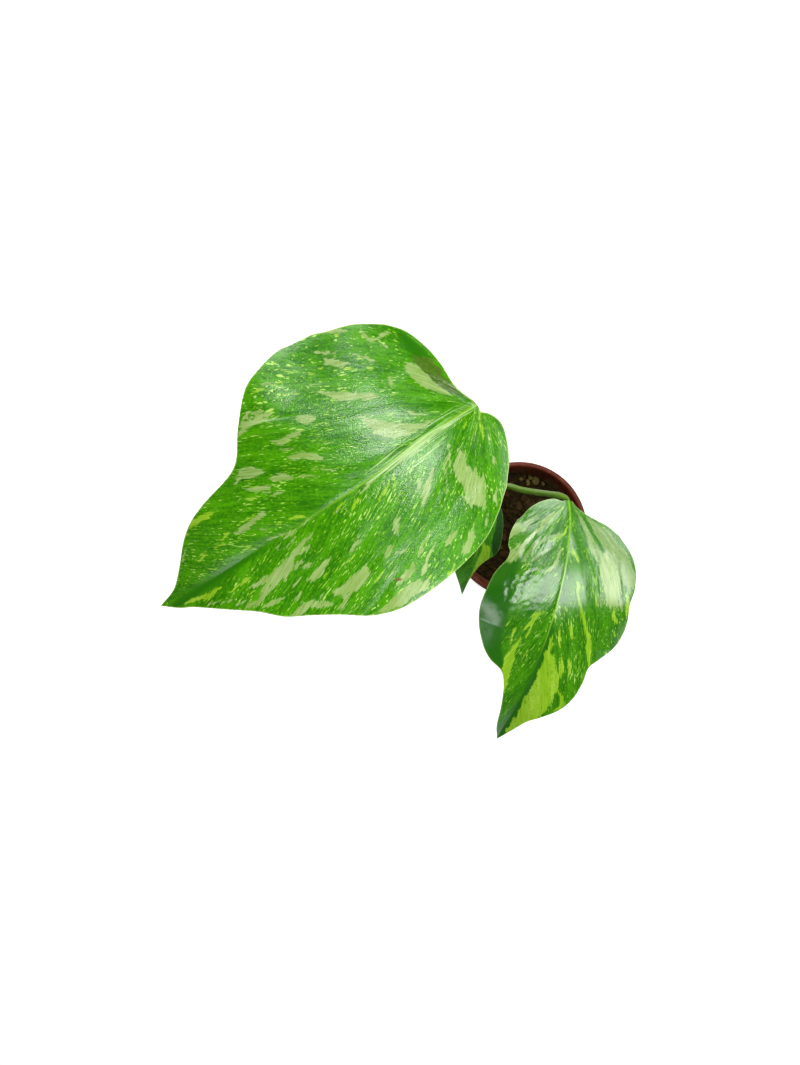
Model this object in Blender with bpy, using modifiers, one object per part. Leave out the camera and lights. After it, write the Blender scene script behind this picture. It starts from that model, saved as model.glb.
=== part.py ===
"""A young variegated monstera in a small nursery pot.

Units are metres and +Z is up. The origin is the middle of the pot's underside,
so the pot stands on z = 0. Every piece is one closed solid: the pot, the soil,
the short stem, three petioles (leaf stalks) and three leaf blades.
"""

import math

import bmesh
import bpy
import numpy as np
from mathutils import Vector, noise

MM = 0.001
GAP = 0.3 * MM                      # clearance between pieces that touch

# Pot: a turned shell with a band round its mouth and holes in its floor
POT_HEIGHT = 62 * MM
RIM_RADIUS = 35 * MM
BAND_HEIGHT = 9 * MM                # the thicker band below the mouth
BAND_STEP = 1.3 * MM                # how far the band stands out from the wall
WALL = 1.5 * MM
BASE_RADIUS = 24.5 * MM
FLOOR_HEIGHT = 3.2 * MM             # inner floor above the table
FOOT_WIDTH = 4.5 * MM               # ring that the pot stands on
PAD_RADIUS = 8 * MM                 # flat middle of the underside
GROOVE_DEPTH = 1.4 * MM             # drainage groove between the pad and the ring
DRAIN_HOLES = 6
DRAIN_RADIUS = 2.5 * MM
POT_SIDES = 48

# Soil: fills the pot to 12 mm below its mouth
SOIL_TOP = 50 * MM
SOIL_LUMP = 1.6 * MM                # height of the lumps on top
COARSE_LUMP = 6.2 * MM              # their spacing
FINE_LUMP = 2.4 * MM
SOIL_CHAMFER = 1.8 * MM             # clear of the rounded corner at the pot's floor
SOIL_SIDES = 40
SOIL_RINGS = 8

# Stem: a short stump in a plain hole in the soil
STEM_FOOT = Vector((-13 * MM, 14.5 * MM, 38 * MM))
STEM_TOP = 61 * MM
STEM_RADIUS = 4.2 * MM
STEM_RING = 0.35 * MM               # how far the leaf scars stand out
STEM_RINGS = (44 * MM, 51.5 * MM, 57 * MM)

# Blades
BLADE = 0.8 * MM
RIB_TAPER = 0.75                    # the midrib has sunk into the blade at this share of its length
ROW_CROWDING = 1.4                  # above 1, the grid's rows stand closer near the base
COLUMN_CROWDING = 1.25              # and its columns closer near the midrib
MARGIN_FADE = 6                     # how soon the rows lose the basal margin's shape

# Leaves. A midrib is a list of points in millimetres from base to tip. A margin
# is a list of (along the midrib, out from it) in millimetres; "right" is the
# side to the right when looking from base to tip. The basal margin runs from
# the petiole to the shoulder of the lobe, and the outer margin on to the tip.
# fold is the upward slope of each half by the midrib, droop bends it down again
# (per millimetre), both at base, middle and tip; curl bends the lobe down. rib is
# the thickness of the midrib where the petiole meets it.
LARGE_LEAF = {
    "midrib": [(-34, 43.7, 165), (-45.5, 36.5, 168), (-57.6, 28, 169.5), (-71.3, 17.4, 169.5),
               (-87, 7.2, 167.5), (-109, -5.7, 161.5), (-128.9, -17.6, 154), (-154, -29.8, 141)],
    "right": {
        "basal": [(0, 1.5), (1.8, 6), (3, 11), (2.4, 19), (3.2, 27), (6.3, 34.8), (12, 40.7)],
        "outer": [(12, 40.7), (20.5, 46), (28, 49.2), (33, 52.2), (46.4, 54.6), (58.8, 52.2),
                  (67.8, 48.2), (77.2, 38.8), (83.6, 30.3), (90, 26.8), (103, 24), (112, 21.2),
                  (119.3, 16.9), (128.8, 8.4), (136, 3.2), (146.3, 0)],
        "fold": (0.16, 0.17, 0.20), "droop": (0.0028, 0.0030, 0.0040), "curl": 0.30, "phase": 0.4},
    "left": {
        "basal": [(0, 1.5), (0.2, 2.9), (-2.2, 5), (-4.4, 9.5), (-3.6, 15), (0, 22.6), (5.9, 30.2)],
        "outer": [(5.9, 30.2), (15, 36), (26, 41), (40, 43), (52.4, 43.8), (62.1, 43.3),
                  (71, 40.3), (80, 34.8), (90, 29.7), (98.7, 25.6), (107.2, 18.4), (118.2, 11.8),
                  (129.4, 6.6), (137, 4.2), (146.3, 0)],
        "fold": (0.12, 0.14, 0.20), "droop": (0.0036, 0.0040, 0.0050), "curl": 0.14, "phase": 2.0},
    "lobe": 30, "wave": 1.6, "wave_length": 58, "half_width": 50, "rib": 2.8, "rows": 38, "columns": 9,
}
MEDIUM_LEAF = {
    "midrib": [(9.5, 12.3, 122), (9.5, 3.9, 124.5), (8.4, -6.4, 126), (6.8, -17.5, 126),
               (4, -31.3, 124), (0.8, -45.2, 120), (-3.3, -60.5, 113.5), (-8.2, -76.5, 105),
               (-15.8, -97.5, 91)],
    "right": {
        "basal": [(0, 1.5), (0.2, 2.8), (-1.2, 6), (-0.6, 11), (2.6, 17), (8.6, 21)],
        "outer": [(8.6, 21), (16, 23.5), (22, 24), (25.5, 23.1), (30, 24), (37, 27.4), (45.1, 29.2),
                  (54.7, 30), (64, 28.2), (71.8, 24.3), (76.5, 20), (80.3, 13.6), (87.3, 10.1),
                  (100, 6.6), (112, 3.9), (121.7, 0)],
        "fold": (0.10, 0.18, 0.55), "droop": (0.011, 0.0115, 0.006), "curl": 0.3, "phase": 1.2},
    "left": {
        "basal": [(0, 1.5), (2.6, 3.6), (5.2, 8), (6.9, 13), (8.1, 18.2), (10.9, 24.7)],
        "outer": [(10.9, 24.7), (17.2, 29.5), (26, 32.5), (33.3, 33.2), (40, 32.3), (47.6, 33.8),
                  (54, 34), (60.5, 31.8), (66, 25.1), (69.5, 21.8), (76, 21.5), (84, 20),
                  (90.4, 16.8), (97.4, 11.1), (103, 6.8), (112, 3.3), (121.7, 0)],
        "fold": (0.06, 0.14, 0.5), "droop": (0.011, 0.012, 0.006), "curl": 0.7, "phase": 3.0},
    "lobe": 26, "wave": 1.4, "wave_length": 46, "half_width": 38, "rib": 2.5, "rows": 34, "columns": 7,
}
SMALL_LEAF = {
    "midrib": [(-20.2, 11, 92), (-21.9, 2.2, 93), (-24.1, -7.1, 90), (-26.6, -16.8, 83.5),
               (-28.5, -24.5, 76), (-29.8, -32.7, 67)],
    "right": {
        "basal": [(0, 1.1), (0.2, 2), (-1.8, 4), (-2.6, 7.5), (0.5, 11.5)],
        "outer": [(0.5, 11.5), (8, 15.6), (17, 16.4), (26, 13.2), (36.7, 6.9), (45, 3), (54.3, 0)],
        "fold": (0.15, 0.2, 0.4), "droop": (0.012, 0.012, 0.010), "curl": 0.2, "phase": 0.0},
    "left": {
        "basal": [(0, 1.1), (0.2, 2), (-1.2, 3.6), (-0.6, 5.6), (3, 7.2)],
        "outer": [(3, 7.2), (9, 8.4), (16.4, 9.1), (20, 8.4), (24, 5.7), (30.2, 3), (40, 1.3),
                  (54.3, 0)],
        "fold": (0.45, 0.5, 0.4), "droop": (0.012, 0.012, 0.010), "curl": 0.2, "phase": 2.0},
    "lobe": 14, "wave": 0.7, "wave_length": 26, "half_width": 17, "rib": 1.7, "rows": 20, "columns": 6,
}

# Petioles: a path in millimetres, then the joint with the blade as (forward,
# right, up) from the start of its midrib, and the radius at each station
LARGE_PETIOLE = {
    "path": [(-13, 14.5, 61.3), (-13, 15.6, 70), (-13.8, 19.6, 86), (-17.8, 27, 108),
             (-24.5, 35.5, 131), (-31, 41, 148)],
    "joint": [(0.9, 0, -8), (1.6, 0, -5), (1.7, 0, -3.1)], "radii": (2.8, 2.1, 1.9, 1.6)}
MEDIUM_PETIOLE = {
    "path": [(-11.6, 17.4, 54), (-10.3, 20, 62), (-9.6, 21.1, 73), (-8.5, 20.6, 84.5),
             (-5.2, 18.6, 92.5), (-0.3, 16.9, 101), (4, 15.4, 111), (7, 14.2, 118)],
    "joint": [(-1.1, 0.2, -1.5), (-0.3, 0, -1.25)], "radii": (2.8, 1.75, 1.6, 1.3)}
SMALL_PETIOLE = {
    "path": [(-14.6, 14.2, 52), (-17.6, 13.8, 57), (-19.6, 14.2, 67), (-20.3, 14.2, 79)],
    "joint": [(-2, 0, -2.8), (-0.9, 0, -1.1), (-0.3, 0, -0.85)], "radii": (2.2, 1.4, 1.1, 0.9)}
PETIOLE_STATIONS = (0, 0.3, 0.985, 1)   # shares of its length where those radii are
JOINT_PLACE, JOINT_LENGTH, JOINT_SWELL = 0.955, 0.03, 0.14


def smooth_curve(points, steps=12):
    """A Catmull-Rom curve through the points, as an array with steps points a span."""
    p = np.asarray(points, float)
    p = np.vstack([2 * p[0] - p[1], p, 2 * p[-1] - p[-2]])
    t = np.linspace(0, 1, steps, endpoint=False)[:, None]
    spans = [0.5 * (2 * b + (c - a) * t + (2 * a - 5 * b + 4 * c - d) * t**2
                    + (3 * b - a - 3 * c + d) * t**3)
             for a, b, c, d in zip(p, p[1:], p[2:], p[3:])]
    return np.vstack([*spans, p[-2:-1]])


def distances(curve):
    """Distance along the curve at each of its points."""
    steps = np.linalg.norm(np.diff(curve, axis=0), axis=1)
    return np.concatenate([[0], np.cumsum(steps)])


def at(curve, share):
    """Points at these shares (0 to 1) of the curve's length."""
    run = distances(curve)
    return np.stack([np.interp(share * run[-1], run, column) for column in curve.T], axis=-1)


class Blade:
    """The upper surface of a leaf, in metres."""

    def __init__(self, leaf):
        self.leaf = leaf
        self.midrib = smooth_curve(leaf["midrib"]) * MM
        self.length = distances(self.midrib)[-1]
        self.rib = leaf["rib"] * MM
        self.margins = {side: {part: smooth_curve(leaf[side][part]) * MM for part in ("basal", "outer")}
                        for side in ("right", "left")}

    def frame(self, along):
        """Point on the midrib, and its forward, right and upward directions."""
        run = distances(self.midrib)
        inside = min(max(along, 0), self.length)
        slope = np.gradient(self.midrib, run, axis=0)
        forward = Vector([np.interp(inside, run, column) for column in slope.T]).normalized()
        start = Vector([np.interp(inside, run, column) for column in self.midrib.T])
        right = forward.cross(Vector((0, 0, 1))).normalized()
        return start + forward * (along - inside), forward, right, right.cross(forward)

    def lift(self, along, out, side):
        """Height of the surface above the midrib at this distance out from it."""
        half, share = self.leaf[side], min(max(along / self.length, 0), 1)
        fold = np.interp(share, (0, 0.5, 1), half["fold"])
        droop = np.interp(share, (0, 0.5, 1), half["droop"]) / MM
        back = min(max(1 - along / (self.leaf["lobe"] * MM), 0), 2)
        turn = 2 * math.pi * along / (self.leaf["wave_length"] * MM) + half["phase"]
        wave = self.leaf["wave"] * MM * math.sin(turn) * (out / (self.leaf["half_width"] * MM)) ** 2
        return fold * out - droop * out**2 - half["curl"] * back**2 * out + wave

    def point(self, along, out, side):
        """A point of the upper surface."""
        start, forward, right, up = self.frame(along)
        sign = 1 if side == "right" else -1
        return start + right * out * sign + up * self.lift(along, out, side)

    def place(self, share, across, side):
        """(along, out) of a grid point: share runs from base to tip, across from midrib to margin.

        The first row is the basal margin itself. Further on the rows straighten
        and run from the midrib out to the outer margin.
        """
        basal, outer = self.margins[side]["basal"], self.margins[side]["outer"]
        start = np.array((self.length * share**ROW_CROWDING, 0))
        row = start * (1 - across) + at(outer, share) * across
        if across > 0:
            row += (at(basal, across) - basal[-1] * across) * (1 - share) ** MARGIN_FADE
        return row


def material(name, colour, roughness):
    """A Principled material of one colour, given as sRGB numbers from 0 to 255."""
    new = bpy.data.materials.new(name)
    new.use_nodes = True
    shader = new.node_tree.nodes["Principled BSDF"]
    linear = [((c / 255 + 0.055) / 1.055) ** 2.4 for c in colour]
    shader.inputs["Base Color"].default_value = (*linear, 1)
    shader.inputs["Roughness"].default_value = roughness
    shader.inputs["Metallic"].default_value = 0
    return new


def collection(name):
    new = bpy.data.collections.new(name)
    bpy.context.scene.collection.children.link(new)
    return new


def add_object(name, data, home, finish=None):
    """An object of this mesh or curve in the collection home."""
    obj = bpy.data.objects.new(name, data)
    home.objects.link(obj)
    if finish:
        data.materials.append(finish)
    return obj


def as_cutter(obj):
    """Keep an object out of the model and show it as wires."""
    obj.hide_render = True
    obj.display_type = "WIRE"
    return obj


def add_cutter(name, radius, depth, sides, centre, home):
    """An upright cylinder that cuts a hole."""
    bpy.ops.mesh.primitive_cylinder_add(vertices=sides, radius=radius, depth=depth, location=centre)
    cutter = as_cutter(bpy.context.object)
    cutter.name = name
    bpy.context.collection.objects.unlink(cutter)
    home.objects.link(cutter)
    return cutter


def to_mesh(obj):
    """Replace a curve object or an object with modifiers by the mesh it makes."""
    bpy.context.view_layer.update()
    evaluated = obj.evaluated_get(bpy.context.evaluated_depsgraph_get())
    mesh = bpy.data.meshes.new_from_object(evaluated)
    weld(mesh, 0.01 * MM)
    name, home = obj.name, obj.users_collection[0]
    bpy.data.objects.remove(obj)
    solid = bpy.data.objects.new(name, mesh)
    home.objects.link(solid)
    return solid


def weld(mesh, distance):
    """Merge the vertices that lie closer than distance."""
    work = bmesh.new()
    work.from_mesh(mesh)
    bmesh.ops.remove_doubles(work, verts=work.verts, dist=distance)
    work.to_mesh(mesh)
    work.free()


def turned(name, profile, sides, home, finish):
    """A body of revolution about Z from (radius, height) points, inside first, outside last."""
    mesh = bpy.data.meshes.new(name)
    edges = [(i, i + 1) for i in range(len(profile) - 1)]
    mesh.from_pydata([(r, 0, z) for r, z in profile], edges, [])
    obj = add_object(name, mesh, home, finish)
    screw = obj.modifiers.new("Turn", "SCREW")
    screw.steps = sides
    screw.render_steps = sides
    screw.use_merge_vertices = True
    screw.merge_threshold = 0.00005
    return obj


def arc(centre, radius, first, last, count):
    """Points of an arc in the profile plane, angles in degrees."""
    angles = np.radians(np.linspace(first, last, count))
    return [(centre[0] + radius * math.cos(a), centre[1] + radius * math.sin(a)) for a in angles]


def inner_radius(height):
    """Radius of the pot's inner wall at this height."""
    top, bottom = RIM_RADIUS - BAND_STEP - WALL, BASE_RADIUS - WALL
    return bottom + (top - bottom) * (height - FLOOR_HEIGHT) / (POT_HEIGHT - FLOOR_HEIGHT)


def make_pot(home, cutters, finish):
    lip = (RIM_RADIUS - inner_radius(POT_HEIGHT)) / 2
    lip_centre = (RIM_RADIUS - lip, POT_HEIGHT - lip)
    band_foot = POT_HEIGHT - BAND_HEIGHT
    below_band = inner_radius(band_foot) + WALL
    band_edge = RIM_RADIUS - 0.5 * MM
    foot_inside = BASE_RADIUS - FOOT_WIDTH
    profile = [(0, FLOOR_HEIGHT), (inner_radius(FLOOR_HEIGHT) - 1.5 * MM, FLOOR_HEIGHT),
               (inner_radius(FLOOR_HEIGHT) + 0.1 * MM, FLOOR_HEIGHT + 1.5 * MM),
               *arc(lip_centre, lip, 180, 0, 7),
               (band_edge, band_foot + 0.5 * MM), (band_edge - 0.5 * MM, band_foot),
               (below_band, band_foot - 0.3 * MM),
               (BASE_RADIUS + 0.4 * MM, 1.6 * MM), (BASE_RADIUS - 0.8 * MM, 0),
               (foot_inside + 0.8 * MM, 0), (foot_inside, GROOVE_DEPTH),
               (PAD_RADIUS + 0.8 * MM, GROOVE_DEPTH), (PAD_RADIUS, 0), (0, 0)]
    pot = turned("pot", profile, POT_SIDES, home, finish)
    ring = (foot_inside + PAD_RADIUS + 0.8 * MM) / 2
    for hole in range(DRAIN_HOLES):
        angle = 2 * math.pi * (hole + 0.5) / DRAIN_HOLES
        centre = (ring * math.cos(angle), ring * math.sin(angle), 0)
        add_cutter(f"drain_cutter_{hole}", DRAIN_RADIUS, 4 * FLOOR_HEIGHT, 16, centre, cutters["drain"])
    drain = pot.modifiers.new("Drain holes", "BOOLEAN")
    drain.operand_type = "COLLECTION"
    drain.collection = cutters["drain"]
    return pot


def make_soil(home, cutters, finish):
    """Soil with a lumpy top and a plain hole for the stem."""
    bottom = FLOOR_HEIGHT + GAP
    edge = inner_radius(SOIL_TOP) - GAP
    profile = [(edge * ring / SOIL_RINGS, SOIL_TOP) for ring in range(SOIL_RINGS + 1)]
    profile += [(inner_radius(bottom + SOIL_CHAMFER) - GAP, bottom + SOIL_CHAMFER),
                (inner_radius(bottom) - GAP - SOIL_CHAMFER, bottom), (0, bottom)]
    soil = to_mesh(turned("soil", profile, SOIL_SIDES, home, finish))
    for vertex in soil.data.vertices:
        if vertex.co.z > SOIL_TOP - GAP:
            level = 1 - (math.hypot(vertex.co.x, vertex.co.y) / edge) ** 4
            lump = noise.noise(vertex.co / COARSE_LUMP) + 0.5 * noise.noise(vertex.co / FINE_LUMP)
            vertex.co.z += SOIL_LUMP * lump * max(level, 0.15)
    foot = Vector((STEM_FOOT.x, STEM_FOOT.y, STEM_FOOT.z - GAP))
    depth = 2 * (SOIL_TOP - foot.z)
    cutter = add_cutter("stem_hole_cutter", STEM_RADIUS + STEM_RING + 2 * GAP, depth, 20,
                        foot + Vector((0, 0, depth / 2)), cutters["soil"])
    hole = soil.modifiers.new("Stem hole", "BOOLEAN")
    hole.object = cutter
    return soil


def tube(name, path, radii, home, finish, sides_step=2):
    """A round tube along points in metres, with a radius at each point."""
    data = bpy.data.curves.new(name, "CURVE")
    data.dimensions = "3D"
    data.bevel_depth = 1
    data.bevel_resolution = sides_step
    data.use_fill_caps = True
    data.render_resolution_u = 0
    spline = data.splines.new("POLY")
    spline.points.add(len(path) - 1)
    for point, place, radius in zip(spline.points, path, radii):
        point.co = (*place, 1)
        point.radius = radius
    return add_object(name, data, home, finish)


def stem_tube(name, extra, home, finish=None):
    """The stem as a tube with leaf scars, its radius enlarged by extra."""
    heights = [STEM_FOOT.z, STEM_FOOT.z + 1 * MM]
    for ring in STEM_RINGS:
        heights += [ring - 1.2 * MM, ring - 0.4 * MM, ring + 0.4 * MM, ring + 1.2 * MM]
    heights += [STEM_TOP - 0.8 * MM, STEM_TOP]
    scars = [min(abs(h - ring) for ring in STEM_RINGS) < 0.5 * MM for h in heights]
    radii = [STEM_RADIUS + (STEM_RING if scar else 0) + extra for scar in scars]
    radii[0] -= 0.8 * MM
    radii[-1] -= 0.8 * MM
    path = [(STEM_FOOT.x, STEM_FOOT.y, h) for h in heights]
    return to_mesh(tube(name, path, radii, home, finish, sides_step=4))


def make_petiole(name, petiole, blade, home, cutters, finish, clasps_stem):
    """A stalk from the stem to the blade's midrib, swollen a little at its top joint."""
    base, forward, right, up = blade.frame(0)
    joint = [base + (forward * f + right * r + up * u) * MM for f, r, u in petiole["joint"]]
    path = smooth_curve([Vector(p) * MM for p in petiole["path"]] + joint, steps=3)
    share = distances(path) / distances(path)[-1]
    radii = np.interp(share, PETIOLE_STATIONS, petiole["radii"]) * MM
    swell = 1 + JOINT_SWELL * np.exp(-((share - JOINT_PLACE) / JOINT_LENGTH) ** 2)
    stalk = to_mesh(tube(name, path, radii * swell, home, finish, sides_step=3))
    if clasps_stem:
        cut = stalk.modifiers.new("Clasp", "BOOLEAN")
        cut.object = cutters["stem"]
    return stalk


def make_leaf(name, blade, home, finish):
    """A grid moved onto the blade's surface, then thickened downwards."""
    leaf = blade.leaf
    work = bmesh.new()
    bmesh.ops.create_grid(work, x_segments=2 * leaf["columns"], y_segments=leaf["rows"], size=1)
    rib = {}
    for vertex in work.verts:
        side = "right" if vertex.co.x >= 0 else "left"
        share, across = (vertex.co.y + 1) / 2, abs(vertex.co.x) ** COLUMN_CROWDING
        along, out = blade.place(share, across, side)
        rib[vertex.index] = max(0, 1 - along / (blade.length * RIB_TAPER)) if across < 0.001 else 0
        vertex.co = blade.point(along, out, side)
    thick = work.verts.layers.deform.verify()
    for vertex in work.verts:
        vertex[thick][0] = rib[vertex.index]
    bmesh.ops.remove_doubles(work, verts=work.verts, dist=0.05 * MM)
    bmesh.ops.triangulate(work, faces=work.faces)
    mesh = bpy.data.meshes.new(name)
    work.to_mesh(mesh)
    work.free()
    obj = add_object(name, mesh, home, finish)
    obj.vertex_groups.new(name="rib")
    solid = obj.modifiers.new("Thickness", "SOLIDIFY")
    solid.thickness = blade.rib
    solid.offset = -1
    solid.vertex_group = "rib"
    solid.thickness_vertex_group = BLADE / blade.rib
    return obj


def smooth_shading(home):
    for obj in home.objects:
        if obj.type == "MESH":
            obj.data.shade_smooth()
            obj.data.set_sharp_from_angle(angle=math.radians(40))


def main():
    for obj in list(bpy.data.objects):
        bpy.data.objects.remove(obj)
    home = collection("potted_monstera")
    cutters = {"drain": collection("drain_cutters"), "soil": collection("soil_cutters")}
    plastic = material("pot_plastic", (112, 50, 40), 0.45)
    earth = material("potting_soil", (74, 60, 46), 0.95)
    bark = material("stem_green", (110, 126, 60), 0.6)
    stalk_green = material("petiole_green", (128, 158, 70), 0.45)
    leaf_green = material("leaf_green", (70, 148, 18), 0.35)

    make_pot(home, cutters, plastic)
    make_soil(home, cutters, earth)
    stem_tube("stem", 0, home, bark)
    cutters["stem"] = as_cutter(stem_tube("stem_cutter", GAP, cutters["soil"]))
    leaves = {"large": (LARGE_LEAF, LARGE_PETIOLE, False),
              "medium": (MEDIUM_LEAF, MEDIUM_PETIOLE, True),
              "small": (SMALL_LEAF, SMALL_PETIOLE, True)}
    for size, (leaf, petiole, clasps_stem) in leaves.items():
        blade = Blade(leaf)
        make_leaf(f"leaf_{size}", blade, home, leaf_green)
        make_petiole(f"petiole_{size}", petiole, blade, home, cutters, stalk_green, clasps_stem)
    smooth_shading(home)


main()
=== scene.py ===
# %% [markdown]
# Potted monstera
#
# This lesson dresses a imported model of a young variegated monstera. The model is
# the frame: a nursery pot, soil, a short stem, three leaf stalks (petioles) and
# three blades. It gives the places and sizes. Here each of them gets its finer
# form and its finish. Lengths are in millimetres where a name or a comment says
# so, and MM turns them into Blender's metres. +Z is up.

# %% Load the frame
import math

import bpy
import numpy as np
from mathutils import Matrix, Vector, noise


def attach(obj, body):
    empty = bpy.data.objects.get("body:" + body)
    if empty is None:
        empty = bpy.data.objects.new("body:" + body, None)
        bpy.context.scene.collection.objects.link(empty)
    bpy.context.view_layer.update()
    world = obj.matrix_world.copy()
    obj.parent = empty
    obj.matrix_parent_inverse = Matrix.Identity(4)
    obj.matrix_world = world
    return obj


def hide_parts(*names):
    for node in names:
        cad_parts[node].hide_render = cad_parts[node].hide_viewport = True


MM = 0.001

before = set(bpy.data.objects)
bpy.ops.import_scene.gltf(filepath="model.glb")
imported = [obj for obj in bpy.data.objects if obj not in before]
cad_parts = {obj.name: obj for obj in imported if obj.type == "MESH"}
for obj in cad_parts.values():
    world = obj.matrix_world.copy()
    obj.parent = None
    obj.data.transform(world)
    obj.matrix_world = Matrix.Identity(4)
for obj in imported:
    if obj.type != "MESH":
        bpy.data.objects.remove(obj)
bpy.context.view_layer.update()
bpy.ops.object.select_all(action="DESELECT")
print("Nodes in the frame:", ", ".join(sorted(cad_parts)))

# %% [markdown]
# The plant is seen from straight above and from close by, so the higher leaves
# look larger than the pot. The lens is worked out from the size of the picture: a
# focal length of 640 pixels where the long side has 1065. Blender measures a lens
# against the long side of its sensor, so both facts give one number.

# %% Camera
FOCAL_PIXELS = 640
LONG_SIDE_PIXELS = 1065
SENSOR = 36                             # millimetres, the long side
CAMERA_PLACE = Vector((-61, -1.3, 389)) * MM

bpy.ops.object.camera_add(location=CAMERA_PLACE, rotation=(0, 0, 0))
camera = bpy.context.object
camera.data.sensor_width = SENSOR
camera.data.lens = FOCAL_PIXELS / LONG_SIDE_PIXELS * SENSOR
camera.data.clip_start = 0.01
bpy.context.scene.camera = camera
print(f"Camera {CAMERA_PLACE.z / MM:.0f} mm up, lens {camera.data.lens:.2f} mm")

# %% [markdown]
# A leaf's gloss only shows if there is something bright to reflect, and dark
# surroundings beside it. So most of the light comes from flat soft boxes, and the
# world is only a faint fill. The box overhead is mirrored beside the midrib of the
# large blade, the tall window box gives its upper half a faint shimmer, the small
# low box shines in the crown of the medium blade, the side box in its far lobe
# and the corner box in its near one. The corner box has a smaller and brighter
# core in front of it, so that its gleam fades out softly. Colours are shown
# without a film-like curve, because such a curve would wash out the strong greens.

# %% Light and floor
FILL_STRENGTH = 0.07
FLOOR_SIZE = 4                          # metres

bpy.context.scene.view_settings.view_transform = "Standard"

world = bpy.data.worlds.new("pale_surroundings")
world.use_nodes = True
world.node_tree.nodes["Background"].inputs["Color"].default_value = (0.93, 0.97, 1, 1)
world.node_tree.nodes["Background"].inputs["Strength"].default_value = FILL_STRENGTH
bpy.context.scene.world = world


def add_soft_box(name, place, size, brightness, aim=None):
    """A flat area light in millimetres: brightness is what a mirror would show of it."""
    spot = Vector(place) * MM
    turn = (Vector(aim) * MM - spot).to_track_quat("-Z", "Y").to_euler() if aim else (0, 0, 0)
    bpy.ops.object.light_add(type="AREA", location=spot, rotation=turn)
    light = bpy.context.object
    light.name = name
    light.data.shape = "RECTANGLE"
    light.data.size, light.data.size_y = size[0] * MM, size[1] * MM
    light.data.energy = brightness * math.pi * light.data.size * light.data.size_y


add_soft_box("overhead_box", (-8, 180, 905), (356, 188), 14.5)
add_soft_box("window_box", (-250, 574, 525), (800, 500), 5.6, aim=(-80, 0, 165))
add_soft_box("low_box", (19, -95, 330), (226, 94), 6.8)
add_soft_box("side_box", (680, -20, 480), (650, 460), 4.8, aim=(0, 0, 120))
add_soft_box("corner_box", (-242, -231, 310), (150, 112), 2.0, aim=(-22, -39, 118))
add_soft_box("corner_box_core", (-240, -229, 308), (82, 54), 2.4, aim=(-22, -39, 118))

bpy.ops.mesh.primitive_plane_add(size=FLOOR_SIZE)
floor = bpy.context.object
floor.name = "floor"

# %% [markdown]
# Every finish below is built from nodes. These helpers keep that short: one adds
# a node and sets or links its inputs, others do sums, soft steps, mixes and noise,
# and the last ones make groups and materials. Colours are written as they look on
# a screen, from 0 to 255, and turned into the linear values that a shader works
# with.

# %% Node helpers


def linear(red, green, blue):
    """A screen colour, 0 to 255, as the linear colour that nodes use."""
    return tuple(((c / 255 + 0.055) / 1.055) ** 2.4 if c > 10 else c / 3295
                 for c in (red, green, blue)) + (1,)


def add_node(tree, kind, inputs=None, **settings):
    """A new node, its settings, and its inputs as values or as sockets to link."""
    new = tree.nodes.new(kind)
    for name, value in settings.items():
        setattr(new, name, value)
    for name, value in (inputs or {}).items():
        if isinstance(value, bpy.types.NodeSocket):
            tree.links.new(value, new.inputs[name])
        else:
            new.inputs[name].default_value = value
    return new


def sum_of(tree, operation, *values, clamp=False):
    """The output of a Math node."""
    node = add_node(tree, "ShaderNodeMath", dict(enumerate(values)), operation=operation, use_clamp=clamp)
    return node.outputs[0]


def times(tree, first, second):
    """The product of two values."""
    return sum_of(tree, "MULTIPLY", first, second)


def times_plus(tree, first, second, third):
    """The product of two values, plus a third."""
    return sum_of(tree, "MULTIPLY_ADD", first, second, third)


def ramp(tree, value, low, high):
    """0 below low, 1 above high, and a soft step between."""
    node = add_node(tree, "ShaderNodeMapRange", {"Value": value, "From Min": low, "From Max": high},
                    interpolation_type="SMOOTHSTEP")
    return node.outputs[0]


def mix(tree, share, first, second):
    """The first colour where share is 0, the second where it is 1: sockets or screen colours."""
    node = add_node(tree, "ShaderNodeMix", {"Factor": share}, data_type="RGBA")
    for name, colour in (("A", first), ("B", second)):
        socket = next(s for s in node.inputs if s.name == name and s.type == "RGBA")
        if isinstance(colour, bpy.types.NodeSocket):
            tree.links.new(colour, socket)
        else:
            socket.default_value = linear(*colour)
    return next(s for s in node.outputs if s.type == "RGBA")


def attribute(tree, name):
    """A number that the mesh carries for each of its points."""
    return add_node(tree, "ShaderNodeAttribute", attribute_name=name).outputs["Fac"]


def object_place(tree):
    """Where a point lies in the piece's own space, in metres."""
    return add_node(tree, "ShaderNodeTexCoord").outputs["Object"]


def noise_on(tree, place, scale, detail, **more):
    """Noise around 0.5 on a coordinate."""
    inputs = {"Vector": place, "Scale": scale, "Detail": detail, **more}
    return add_node(tree, "ShaderNodeTexNoise", inputs).outputs["Fac"]


def stretched(tree, place, scale):
    """A coordinate scaled differently in its three directions."""
    return add_node(tree, "ShaderNodeMapping", {"Vector": place, "Scale": scale}).outputs[0]


def dress(tree, shader, colour, roughness, height, strength, distance):
    """Link a colour, a roughness, and a bump from a height, whose distance is in metres."""
    bump = add_node(tree, "ShaderNodeBump", {"Strength": strength, "Distance": distance, "Height": height})
    tree.links.new(colour, shader.inputs["Base Color"])
    tree.links.new(roughness, shader.inputs["Roughness"])
    tree.links.new(bump.outputs["Normal"], shader.inputs["Normal"])


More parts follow.
